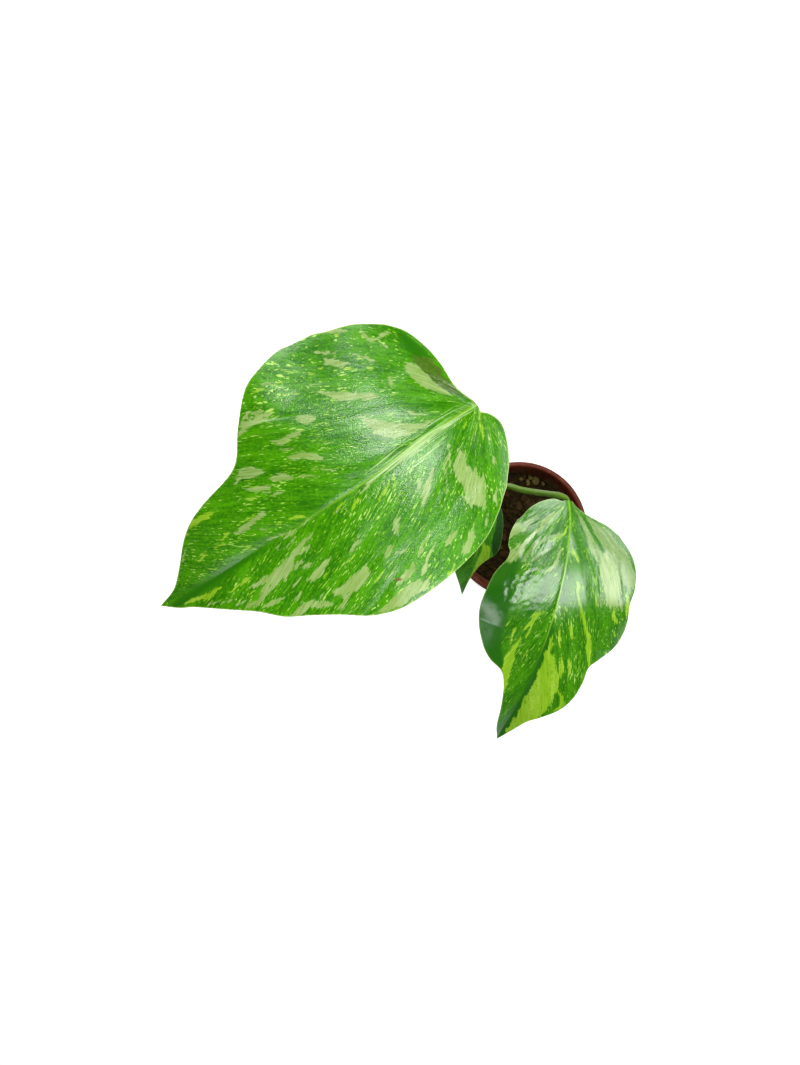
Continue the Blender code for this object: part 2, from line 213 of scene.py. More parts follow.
def new_group(name, inputs, outputs):
    """A node group of numbers, inputs with their defaults: its tree, its inputs and its output node."""
    tree = bpy.data.node_groups.new(name, "ShaderNodeTree")
    for socket, default in inputs.items():
        made = tree.interface.new_socket(name=socket, in_out="INPUT", socket_type="NodeSocketFloat")
        made.default_value = default
    for socket in outputs:
        tree.interface.new_socket(name=socket, in_out="OUTPUT", socket_type="NodeSocketFloat")
    return tree, add_node(tree, "NodeGroupInput").outputs, add_node(tree, "NodeGroupOutput")


def use_group(tree, group, **inputs):
    """A group placed in a tree, with underscores for the spaces in its input names."""
    values = {name.replace("_", " "): value for name, value in inputs.items()}
    return add_node(tree, "ShaderNodeGroup", values, node_tree=group).outputs


def new_material(name, **constants):
    """A material, its tree and its shader, with constants set on the shader's own sockets."""
    made = bpy.data.materials.new(name)
    made.use_nodes = True
    shader = made.node_tree.nodes["Principled BSDF"]
    for socket, value in constants.items():
        shader.inputs[socket.replace("_", " ")].default_value = value
    return made, made.node_tree, shader


print("Helpers ready, for example green:", [round(c, 3) for c in linear(66, 150, 14)])

# %% [markdown]
# The floor is plain and pale. A trace of variation keeps it from looking like a
# cut-out, and a faint glow of its own keeps it white where the soft boxes no
# longer reach.

# %% Floor finish
floor_paint, tree, shader = new_material("floor_paint", Roughness=0.8, Emission_Strength=0.3)
cloud = add_node(tree, "ShaderNodeTexNoise", {"Scale": 3.0, "Detail": 2.0}).outputs["Fac"]
tree.links.new(mix(tree, cloud, (246, 246, 245), (250, 250, 249)), shader.inputs["Base Color"])
floor.data.materials.append(floor_paint)
print("Floor finish:", floor_paint.name)

# %% [markdown]
# Pieces are modelled in edit mode, and arrays of points are read and written in
# one go. All are finished alike: smooth shading with crisp corners, the body that
# the piece moves with, and the frame's node that it stands for.

# %% Modelling helpers


def select_only(obj):
    """Make obj the active object and the only selected one."""
    bpy.ops.object.select_all(action="DESELECT")
    bpy.context.view_layer.objects.active = obj
    obj.select_set(True)


def edit_mode(obj, on=True):
    """Enter edit mode with obj as the only selected object, or leave it."""
    if on:
        select_only(obj)
    bpy.ops.object.mode_set(mode="EDIT" if on else "OBJECT")


def merge_points(threshold):
    """In edit mode, merge all points closer than this many millimetres."""
    bpy.ops.mesh.select_all(action="SELECT")
    bpy.ops.mesh.remove_doubles(threshold=threshold * MM)


def select_open_edges():
    """In edit mode, select only the edges where the mesh is open."""
    bpy.ops.mesh.select_all(action="DESELECT")
    bpy.ops.mesh.select_non_manifold()


def cap_and_turn():
    """In edit mode, close the selected rings and turn all faces outwards."""
    bpy.ops.mesh.fill_holes(sides=0)
    bpy.ops.mesh.select_all(action="SELECT")
    bpy.ops.mesh.normals_make_consistent(inside=False)


def extrude_rings(rings):
    """In edit mode, extrude the selected ring through these (radius, height) in mm."""
    for (r0, z0), (r1, z1) in zip(rings, rings[1:]):
        bpy.ops.mesh.extrude_region_move(TRANSFORM_OT_translate={"value": (0, 0, (z1 - z0) * MM)})
        bpy.ops.transform.resize(value=(r1 / r0, r1 / r0, 1), center_override=(0, 0, 0))


def places(obj):
    """The mesh's points as an array."""
    points = np.empty(len(obj.data.vertices) * 3)
    obj.data.vertices.foreach_get("co", points)
    return points.reshape(-1, 3)


def move_to(obj, points):
    """Put the mesh's points where the array says."""
    obj.data.vertices.foreach_set("co", np.asarray(points, float).ravel())
    obj.data.update()


def give_numbers(obj, name, values):
    """Store one number a point, for the finish to read."""
    layer = obj.data.attributes.new(name, "FLOAT", "POINT")
    layer.data.foreach_set("value", np.asarray(values, np.float32))


def apply_modifiers(obj):
    """Apply every modifier of the object."""
    select_only(obj)
    for modifier in list(obj.modifiers):
        bpy.ops.object.modifier_apply(modifier=modifier.name)


def join_all(parts):
    """Join the parts into the first of them, which keeps its name."""
    select_only(parts[0])
    for part in parts:
        part.select_set(True)
    bpy.ops.object.join()
    return parts[0]


def finish_piece(obj, node=None, crease=50):
    """Shade the piece, crisp above crease degrees, tie it to the frame and say how large its mesh is."""
    select_only(obj)
    bpy.ops.object.transform_apply(location=True, rotation=True, scale=True)
    bpy.ops.object.shade_smooth_by_angle(angle=math.radians(crease))
    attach(obj, "root")
    if node:
        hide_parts(node)
    triangles = sum(len(face.vertices) - 2 for face in obj.data.polygons)
    print(f"{obj.name}: {triangles} triangles")


print("Modelling helpers ready")

# %% [markdown]
# A blade is described as it would be measured: the midrib as points in the air,
# and for each half the outline as distances along the midrib and out from it.
# fold is how steeply a half rises beside the midrib, at the base, in the middle
# and at the tip. droop bends it down again, and curl turns the lobes at the base
# down, over the length given as lobe. These are the same values that the frame's
# leaves were made with, so the finer blades keep their form.

# %% Leaf measurements
LARGE_LEAF = {
    "midrib": [(-34, 43.7, 165), (-45.5, 36.5, 168), (-57.6, 28, 169.5), (-71.3, 17.4, 169.5),
               (-87, 7.2, 167.5), (-109, -5.7, 161.5), (-128.9, -17.6, 154), (-154, -29.8, 141)],
    "right": {
        "basal": [(0, 1.5), (1.8, 6), (3, 11), (2.4, 19), (3.2, 27), (6.3, 34.8), (12, 40.7)],
        "outer": [(12, 40.7), (20.5, 46), (28, 49.2), (33, 52.2), (46.4, 54.6), (58.8, 52.2),
                  (67.8, 48.2), (77.2, 38.8), (83.6, 30.3), (90, 26.8), (103, 24), (112, 21.2),
                  (119.3, 16.9), (128.8, 8.4), (136, 3.2), (146.3, 0)],
        "fold": (0.16, 0.17, 0.20), "droop": (0.0028, 0.0030, 0.0040), "curl": 0.30, "phase": 0.4},
    "left": {
        "basal": [(0, 1.5), (0.2, 2.9), (-2.2, 5), (-4.4, 9.5), (-3.6, 15), (0, 22.6), (5.9, 30.2)],
        "outer": [(5.9, 30.2), (15, 36), (26, 41), (40, 43), (52.4, 43.8), (62.1, 43.3),
                  (71, 40.3), (80, 34.8), (90, 29.7), (98.7, 25.6), (107.2, 18.4), (118.2, 11.8),
                  (129.4, 6.6), (137, 4.2), (146.3, 0)],
        "fold": (0.12, 0.14, 0.20), "droop": (0.0036, 0.0040, 0.0050), "curl": 0.14, "phase": 2.0},
    "lobe": 30, "wave": 1.6, "wave_length": 58, "half_width": 50, "rib": 2.8,
}
MEDIUM_LEAF = {
    "midrib": [(9.5, 12.3, 122), (9.5, 3.9, 124.5), (8.4, -6.4, 126), (6.8, -17.5, 126),
               (4, -31.3, 124), (0.8, -45.2, 120), (-3.3, -60.5, 113.5), (-8.2, -76.5, 105),
               (-15.8, -97.5, 91)],
    "right": {
        "basal": [(0, 1.5), (0.2, 2.8), (-1.2, 6), (-0.6, 11), (2.6, 17), (8.6, 21)],
        "outer": [(8.6, 21), (16, 23.5), (22, 24), (25.5, 23.1), (30, 24), (37, 27.4), (45.1, 29.2),
                  (54.7, 30), (64, 28.2), (71.8, 24.3), (76.5, 20), (80.3, 13.6), (87.3, 10.1),
                  (100, 6.6), (112, 3.9), (121.7, 0)],
        "fold": (0.10, 0.18, 0.55), "droop": (0.011, 0.0115, 0.006), "curl": 0.3, "phase": 1.2},
    "left": {
        "basal": [(0, 1.5), (2.6, 3.6), (5.2, 8), (6.9, 13), (8.1, 18.2), (10.9, 24.7)],
        "outer": [(10.9, 24.7), (17.2, 29.5), (26, 32.5), (33.3, 33.2), (40, 32.3), (47.6, 33.8),
                  (54, 34), (60.5, 31.8), (66, 25.1), (69.5, 21.8), (76, 21.5), (84, 20),
                  (90.4, 16.8), (97.4, 11.1), (103, 6.8), (112, 3.3), (121.7, 0)],
        "fold": (0.06, 0.14, 0.5), "droop": (0.011, 0.012, 0.006), "curl": 0.7, "phase": 3.0},
    "lobe": 26, "wave": 1.4, "wave_length": 46, "half_width": 38, "rib": 2.5,
}
SMALL_LEAF = {
    "midrib": [(-20.2, 11, 92), (-21.9, 2.2, 93), (-24.1, -7.1, 90), (-26.6, -16.8, 83.5),
               (-28.5, -24.5, 76), (-29.8, -32.7, 67)],
    "right": {
        "basal": [(0, 1.1), (0.2, 2), (-1.8, 4), (-2.6, 7.5), (0.5, 11.5)],
        "outer": [(0.5, 11.5), (8, 15.6), (17, 16.4), (26, 13.2), (36.7, 6.9), (45, 3), (54.3, 0)],
        "fold": (0.15, 0.2, 0.4), "droop": (0.012, 0.012, 0.010), "curl": 0.2, "phase": 0.0},
    "left": {
        "basal": [(0, 1.1), (0.2, 2), (-1.2, 3.6), (-0.6, 5.6), (3, 7.2)],
        "outer": [(3, 7.2), (9, 8.4), (16.4, 9.1), (20, 8.4), (24, 5.7), (30.2, 3), (40, 1.3),
                  (54.3, 0)],
        "fold": (0.45, 0.5, 0.4), "droop": (0.012, 0.012, 0.010), "curl": 0.2, "phase": 2.0},
    "lobe": 14, "wave": 0.7, "wave_length": 26, "half_width": 17, "rib": 1.7,
}
SIDES = ("right", "left")
for leaf in (LARGE_LEAF, MEDIUM_LEAF, SMALL_LEAF):
    print("A midrib of", len(leaf["midrib"]), "points, with outlines of",
          [len(leaf[side]["basal"]) + len(leaf[side]["outer"]) for side in SIDES])

# %% [markdown]
# Veins leave the midrib at an angle and bend towards the tip, and those of the
# basal lobes fan out from the petiole. All the markings of a variegated leaf run
# along its veins, so a coordinate that follows them is worth having: how far a
# point is along its vein, and how far that vein is from the next. angle is where
# veins leave the midrib, in degrees, at the base and at the tip; bend is how much
# they curve, per millimetre, for veins that leave at 30, 60, 90 and 130 degrees.

# %% Vein measurements
LARGE_LEAF["veins"] = {"right": {"angle": (38, 34), "bend": (0.016, 0.014, 0.010, 0.020)},
                       "left": {"angle": (38, 27), "bend": (0.016, 0.014, 0.010, 0.020)}}
MEDIUM_LEAF["veins"] = {"right": {"angle": (32, 18), "bend": (0.040, 0.030, 0.020, 0.030)},
                        "left": {"angle": (32, 26), "bend": (0.042, 0.030, 0.020, 0.030)}}
SMALL_LEAF["veins"] = {"right": {"angle": (30, 22), "bend": (0.050, 0.040, 0.030, 0.030)},
                       "left": {"angle": (30, 22), "bend": (0.050, 0.040, 0.030, 0.030)}}
BEND_ANGLES = (30, 60, 90, 130)
FAN_RADIUS = 22                         # millimetres: turns an angle in the fan into a width
VEIN_ROUNDS, FAN_ROUNDS = 8, 12         # how often a guess at a point's vein is improved


def vein_place(leaf, side, length, along, out):
    """(distance along the vein, distance across the veins) for points of one half, in mm."""
    veins = leaf["veins"][side]
    bend = np.interp(veins["angle"][0], BEND_ANGLES, veins["bend"])
    start = np.clip(along, 0, length)
    for _ in range(VEIN_ROUNDS):
        slope = 1 / np.tan(np.radians(np.interp(start / length, (0, 1), veins["angle"])))
        start = np.clip(along - out * slope - bend * out**2, 0, length)
    angle = np.radians(np.interp(start / length, (0, 1), veins["angle"]))
    turn = np.arctan2(out, along)
    for _ in range(FAN_ROUNDS):
        turn = np.arctan2(out, along - np.interp(np.degrees(turn), BEND_ANGLES, veins["bend"]) * out**2)
    fan = (start <= 0) & (turn > angle)
    first = math.radians(veins["angle"][0])
    across = np.where(fan, -(turn - first) * FAN_RADIUS, start * np.sin(angle))
    reach = np.where(fan, np.hypot(along, out), out / np.sin(angle))
    return reach, across


print("Veins of the large leaf leave the midrib at", LARGE_LEAF["veins"]["right"]["angle"], "degrees")

# %% [markdown]
# These measurements make a smooth surface: curves through the points of midrib
# and outline, three directions at each place on the midrib, and the height of the
# blade beside it. The class holds them for one blade, because its grid, its
# relief and its petiole all start from them.

# %% Leaf surface
ROW_CROWDING = 1.4                      # above 1, the rows of points crowd towards the base
BULGE_FADE = 6                          # how quickly the base's outline stops shaping the rows


def smooth_curve(points, steps=12):
    """A Catmull-Rom curve through the points, with this many steps a span."""
    p = np.asarray(points, float)
    p = np.vstack([2 * p[0] - p[1], p, 2 * p[-1] - p[-2]])
    t = np.linspace(0, 1, steps, endpoint=False)[:, None]
    spans = [0.5 * (2 * b + (c - a) * t + (2 * a - 5 * b + 4 * c - d) * t**2
                    + (3 * b - a - 3 * c + d) * t**3)
             for a, b, c, d in zip(p, p[1:], p[2:], p[3:])]
    return np.vstack([*spans, p[-2:-1]])


def distances(curve):
    """Distance along the curve at each of its points."""
    return np.concatenate([[0], np.cumsum(np.linalg.norm(np.diff(curve, axis=0), axis=1))])


def at(curve, share):
    """Points at these shares, 0 to 1, of the curve's length."""
    run = distances(curve)
    return np.stack([np.interp(share * run[-1], run, column) for column in curve.T], axis=-1)


def unit(vectors):
    """The vectors brought to length 1."""
    return vectors / np.linalg.norm(vectors, axis=-1, keepdims=True)


class LeafSurface:
    """The upper surface of a blade, in millimetres, for whole arrays of points."""

    def __init__(self, leaf):
        self.leaf = leaf
        self.midrib = smooth_curve(leaf["midrib"])
        self.run = distances(self.midrib)
        self.length = self.run[-1]
        self.margins = {side: {part: smooth_curve(leaf[side][part]) for part in ("basal", "outer")}
                        for side in SIDES}

    def frame(self, along):
        """Point on the midrib, and its forward, right and upward directions."""
        inside = np.clip(along, 0, self.length)
        slope = np.gradient(self.midrib, self.run, axis=0)
        forward = unit(np.stack([np.interp(inside, self.run, c) for c in slope.T], axis=-1))
        start = np.stack([np.interp(inside, self.run, c) for c in self.midrib.T], axis=-1)
        right = unit(np.cross(forward, (0, 0, 1)))
        return start + forward * (along - inside)[:, None], forward, right, np.cross(right, forward)

    def lift(self, along, out, side):
        """Height of the surface above the midrib at this distance out from it."""
        half, leaf = self.leaf[side], self.leaf
        share = np.clip(along / self.length, 0, 1)
        fold = np.interp(share, (0, 0.5, 1), half["fold"])
        droop = np.interp(share, (0, 0.5, 1), half["droop"])
        back = np.clip(1 - along / leaf["lobe"], 0, 2)
        wave = np.sin(2 * math.pi * along / leaf["wave_length"] + half["phase"])
        wave = leaf["wave"] * wave * (out / leaf["half_width"]) ** 2
        return fold * out - droop * out**2 - half["curl"] * back**2 * out + wave

    def place(self, share, across, side):
        """(along, out) of grid points: share from base to tip, across from midrib to margin."""
        basal, outer = self.margins[side]["basal"], self.margins[side]["outer"]
        start = np.stack([self.length * share**ROW_CROWDING, np.zeros_like(share)], axis=-1)
        row = start * (1 - across[:, None]) + at(outer, share) * across[:, None]
        bulge = (at(basal, across) - basal[-1] * across[:, None]) * ((1 - share) ** BULGE_FADE)[:, None]
        return np.where(across[:, None] > 0, row + bulge, row)


print(f"The large midrib is {LeafSurface(LARGE_LEAF).length:.0f} mm long")

# %% [markdown]
# The cream patches are what makes this plant. Each is a chain of points, from
# its foot to its tip: distance along the midrib, distance out from it with the
# right half positive, and half the patch's width there, all in millimetres. They
# were measured on the leaf one by one, and a broad patch is made of several
# chains. Yellow patches are a yellowish green.
# Olive ones have a third tone. On the large leaf it is painted shade, the dark
# olive half of a patch on a lobe that turns from the light; on the medium leaf it
# is a pale sage; on the small one it is painted shade again, a dark green over the
# lobe that lies in the large leaf's shadow. In the plain areas there are no
# speckles, which is the leaf's own, and the green is deeper, which is painted
# shade: in the groove of a midrib near its tip, beside a curled margin and on
# parts that turn from the light. A band is the pale, fibrous strip beside the
# midrib, and the mark is a small brown blemish.

# %% Patches of the large leaf
LARGE_PATCHES = {"cream": [
    [(33.5, 45.5, 0.4), (30, 41.5, 0.6)],
    [(33, 42, 0.3), (32, 39.5, 1.1), (31, 38, 1.2), (29.5, 36.5, 0.7)],
    [(25.5, 36.5, 0.3), (22.5, 32.5, 0.5)],
    [(42, 38, 0.4), (39.5, 36, 0.4)],
    [(60, 47, 0.5), (57, 45.5, 0.4)],
    [(42.5, 34.5, 0.3), (39.5, 31.5, 0.7), (37.5, 29, 1.4),
     (35, 27, 1.5), (32, 24.5, 1.2), (30, 22.5, 1.4)],
    [(79, 36.5, 0.3), (76, 37.5, 0.9), (73, 38.5, 1.4), (70.5, 38, 1), (67, 37.5, 1.5), (66, 36, 0.5)],
    [(69, 40.5, 0.5), (66.5, 40, 0.5), (66.5, 38, 0.3)],
    [(73.5, 40, 0.8), (71, 41.5, 0.6)],
    [(64.5, 35.5, 0.3), (61.5, 35, 0.3)],
    [(55.5, 30, 0.5), (53.5, 29, 1.7), (51.5, 27.5, 0.3)],
    [(68, 28.5, 0.4), (65.5, 27, 0.8), (62.5, 27, 1), (60, 26.5, 0.9), (57.5, 26.5, 0.3)],
    [(66.5, 24.5, 0.4), (63.5, 23, 0.3)],
    [(64.5, 20.5, 1), (62, 19.5, 1.1), (59, 17.5, 1.2), (56.5, 15, 0.8)],
    [(87.5, 24, 0.4), (85, 25, 1), (82.5, 24.5, 1.7), (80.5, 23.5, 1.6), (78.5, 22.5, 0.3)],
    [(74.5, 17.5, 1.1), (72, 16.5, 1.3), (69.5, 15, 0.3)],
    [(58.5, 11.5, 0.3), (55, 9, 0.3)],
    [(66, 13.5, 0.3), (62, 11, 0.4)],
    [(86, 19.5, 0.6), (83.5, 18.5, 0.9), (80, 17, 0.8)],
    [(81, 16, 0.3), (79.5, 15, 0.3)],
    [(79.5, 13.5, 0.3), (77, 13, 0.5), (75, 12.5, 0.3)],
    [(96.5, 9, 0.9), (93, 9, 1.2), (89.5, 9.5, 0.9), (86.5, 9.5, 1), (85, 9.5, 0.4)],
    [(89, 5, 0.5), (88.5, 4.5, 0.5)],
    [(74, -5.5, 0.3), (79, -6.5, 0.8), (84, -8.5, 1.4), (89, -11, 2.1),
     (94, -12, 2.3), (98.5, -13.5, 1.6), (103, -15.5, 1), (105.5, -16.5, 0.4)],
    [(97.5, -10.5, 1.1), (102, -10.5, 0.8), (103, -10.5, 0.4)],
    [(89, -12, 1.1), (85.5, -12, 0.9), (82.5, -12, 0.7)],
    [(82, -14, 0.7), (80.5, -14, 0.7)],
    [(89, -17.5, 0.6), (87, -17, 0.4)],
    [(108, -15.5, 0.8), (106, -15.5, 0.5), (105, -17, 0.3)],
    [(103.5, -18.5, 0.6), (100, -19, 0.9), (95.5, -19.5, 0.3)],
    [(81.5, -18.5, 1.2), (79, -18, 1.5), (76, -17, 1), (73, -16, 0.5)],
    [(81, -9, 0.6), (77.5, -8.5, 0.5)],
    [(95, -26.5, 0.7), (92, -26.5, 1.1), (88, -26, 1.1), (85.5, -27.5, 1.4), (83, -28.5, 1.2)],
    [(84, -27, 0.5), (82.5, -26, 0.3)],
    [(91, -22, 0.7), (89.5, -21.5, 0.5)],
    [(111.5, -13, 0.4), (109.5, -13, 0.4)],
    [(122.5, -8, 0.3), (118.5, -8.5, 0.3)],
    [(117.5, -9.5, 0.3), (113, -10.5, 0.3)],
    [(124, 11.5, 0.4), (121, 13.5, 0.3)],
    [(62.5, -3, 0.3), (60.5, -3, 0.3)],
    [(75.5, -27.5, 1.4), (72, -28, 2.1), (68.5, -27.5, 2.4), (66, -26.5, 1.7), (64, -25.5, 0.5)],
    [(74.5, -30, 1.4), (76.5, -32, 0.7), (79.5, -33, 0.4)],
    [(68, -40.5, 0.5), (64, -41, 1.4), (59.5, -40.5, 2.1),
     (55.5, -40, 2.1), (52.5, -40.5, 1.5), (50.5, -43, 0.3)],
    [(58.5, -36, 0.5), (56, -35.5, 1), (53, -34.5, 1.1), (51, -33, 0.6), (49, -30.5, 0.3)],
    [(43, -32, 0.3), (45, -33, 0.5), (47, -35, 0.5), (48.5, -36.5, 1)],
    [(42.5, -28, 0.3), (44.5, -29, 0.5), (46.5, -30.5, 0.7)],
    [(46.5, -17.5, 0.3), (48, -19, 1.3), (49, -21, 0.3)],
    [(53, -24, 0.3), (54.5, -24.5, 1), (55.5, -25.5, 0.3)],
    [(52, -26.5, 0.5), (51, -27, 0.5)],
    [(64, -17, 0.7), (62, -16, 0.8), (60, -14.5, 0.3)],
    [(38, -33.5, 0.8), (36.5, -33, 1), (35, -33, 0.3)],
    [(36.5, -40, 0.7), (34, -39, 1.4), (31, -37.5, 1.4), (27, -35, 0.3)],
    [(17.6, -18.5, 2.4), (17.9, -22, 3.4), (18.2, -25, 3.0)],
    [(13.6, -23.5, 1.0), (15.5, -26, 1.7), (17.3, -28.6, 1.4)],
    [(14.6, -20.5, 0.9), (16, -22.5, 1.6)],
    [(15.6, -12, 0.9), (16.8, -14.5, 1.9), (18.3, -16.5, 2.0)],
    [(19.6, -15, 1.1), (20.3, -17, 1.2)],
    [(21.2, -24, 1.2), (22, -26.5, 1.3), (21, -28, 1.2)],
    [(17.5, -29.5, 0.8), (19, -31.5, 0.7)],
    [(22.5, -26, 1), (24, -27, 0.3)],
    [(27, -11, 0.3), (31, -13.5, 1), (34, -15.5, 1.4), (36.5, -17.5, 0.9)],
    [(31.5, -9.5, 0.3), (34, -12, 0.7), (35.5, -13.5, 0.3)],
    [(21, -10.5, 0.3), (23, -12, 0.6), (24, -14.5, 0.4)],
    [(17.5, -7.5, 0.3), (20, -11.5, 0.5), (22, -15, 0.4)],
    [(45.5, -1, 0.4), (48.5, -1.5, 0.7), (51.5, -2.5, 0.3)],
    [(11, -29.5, 0.4), (13, -31, 0.8), (14, -33.5, 0.3)],
    [(19.5, -34.5, 0.3), (22.5, -37, 0.3)],
    [(55.5, -30.5, 0.3), (58.5, -31.5, 0.4), (59.5, -32, 0.3)],
    [(19.5, 42.5, 0.3), (19.5, 40.5, 0.7), (19, 38.5, 0.5)],
    [(14.5, 37.5, 0.9), (14, 37.5, 0.8)],
    [(16.5, 35.5, 0.4), (16, 34, 0.4)],
    [(21, 23.5, 0.4), (21.5, 21.5, 0.7)],
    [(27, 48, 0.6), (24.5, 46, 0.5)],
    [(22, 9.5, 0.4), (20.5, 8, 0.5), (18.5, 6.5, 0.3)],
    [(35.5, 18, 0.6), (34.5, 15.5, 1.4), (33.5, 13, 2), (31, 9, 2.4),
     (28.5, 7, 2.2), (25, 5, 1.6), (21, 3.5, 0.8), (17, 3, 0.3)],
    [(5, -19.5, 0.6), (5.5, -20, 0.6)],
    [(71.5, -0.5, 0.3), (76, -1, 0.4), (80.5, -1.5, 0.4), (84.5, -1.5, 0.3), (87, -3, 0.3)],
    [(74, -1, 0.3), (79.5, -1, 0.3), (84, 0, 0.3), (89, 1, 0.3)],
    [(80, -3.5, 0.3), (83.5, -4.5, 0.3), (86.5, -4.5, 0.3)],
    [(24, -15.5, 0.3), (27.5, -19.5, 0.3)],
    [(5.5, 7.5, 0.3), (7.8, 11, 1.2), (9.8, 14, 2.0), (11.2, 17, 2.7), (12, 19.5, 2.4), (12.8, 21.5, 1.2)],
], "olive_and_shade": [
    # Painted shade: this half of a patch, on a lobe that turns from the light, is painted dark olive.
    [(3, 6, 0.4), (4.6, 9.5, 1.2), (6.2, 13, 1.8), (7.4, 16, 2.2), (8.2, 19, 2.3),
     (8.8, 21.5, 1.9), (9.5, 24, 0.5)],
    [(9, 23, 1), (7, 22, 1.4), (6, 18.5, 1.7)],
], "yellow": [
    [(38.5, 42.5, 0.3), (36, 40.5, 0.4)],
    [(40.5, 41.5, 0.3), (39, 40, 0.3)],
    [(56, 45, 0.3), (54, 44.5, 0.3)],
    [(64.5, 46.5, 0.3), (61.5, 45.5, 0.3)],
    [(55.5, 40, 0.3), (52.5, 39, 0.3), (50, 38, 0.3)],
    [(87, 16.5, 0.3), (84, 15.5, 0.3)],
    [(112.5, 20, 0.5), (108.5, 20.5, 1.1), (104, 20, 1.1), (101, 19.5, 0.4)],
    [(95.5, 11, 0.3), (91.5, 11, 0.4), (88.5, 10.5, 0.4)],
    [(78, 3, 0.4), (75.5, 2.5, 0.6), (73.5, 1.5, 0.3)],
    [(82.5, 4, 0.4), (82, 4, 0.4)],
    [(99.5, 2.5, 0.3), (97, 2.5, 0.4)],
    [(111.5, -7.5, 0.3), (108, -7, 0.5), (105, -7, 0.7), (103, -7, 0.3)],
    [(133.5, -3.5, 0.3), (127, -4, 0.7), (122, -5, 1), (118.5, -4.5, 0.7), (115, -4.5, 0.3)],
    [(117.5, 8, 0.3), (114, 8.5, 0.4)],
    [(115.5, 9.5, 0.4), (114, 9.5, 0.4)],
    [(108.5, 9, 0.3), (105, 8.5, 0.4)],
    [(104, 10, 0.4), (101.5, 10.5, 0.6)],
    [(53.5, -3.5, 0.3), (56.5, -5, 0.4)],
    [(58.5, -2, 0.3), (61, -2.5, 0.5), (63, -3, 0.3)],
    [(42.5, -5.5, 0.3), (45, -7, 0.5), (47.5, -8, 0.5)],
    [(40, -6.5, 0.3), (42, -8, 0.3)],
    [(41.5, -41.5, 0.3), (43.5, -42.5, 0.4)],
    [(60, -29.5, 0.3), (62, -30.5, 0.4), (65, -31.5, 0.3)],
    [(66, -19.5, 0.3), (67.5, -20, 0.3)],
    [(26.5, 46.5, 0.5), (26.5, 46, 0.4)],
    [(24.5, 30.5, 0.3), (24, 29.5, 0.3)],
    [(29.5, 34.5, 0.3), (28, 32.5, 0.3)],
    [(3, -7.5, 0.6), (4, -10, 0.4)],
    [(9, -4.5, 0.3), (6.5, -2.5, 0.3)],
    [(0.5, -3, 0.3), (2, -4.5, 0.3)],
    [(6, -8, 0.3), (8.5, -10, 0.3)],
], "plain_and_shade": [
    # Plain chains: no speckles, and a deeper green that is painted shade, beside a curled margin and in the
    # groove of the midrib near the tip.
    [(9, 34, 0.7), (8.5, 29, 2.1), (8, 26, 2.1)],
    [(138, -2.5, 1.5), (124, -1.5, 1.5), (108.5, -0.5, 1.1), (93, -1, 0.4)],
], "band": [
    [(1, 0, 0.6), (8, -0.3, 1.3), (18, -0.8, 2.0), (28, -1.2, 2.4), (38, -1.2, 1.8), (48, -0.8, 0.6)],
    [(16, -4, 0.5), (26, -6, 1.0), (36, -6, 0.5)],
    [(4, 1.4, 0.4), (14, 2.6, 0.6), (24, 2.9, 0.7), (34, 2.6, 0.6), (46, 2.0, 0.3)],
], "mark": [
    [(56.6, -34.5, 0.35), (57.3, -34.1, 0.3)],
]}
print("Large leaf:", {tone: len(chains) for tone, chains in LARGE_PATCHES.items()})
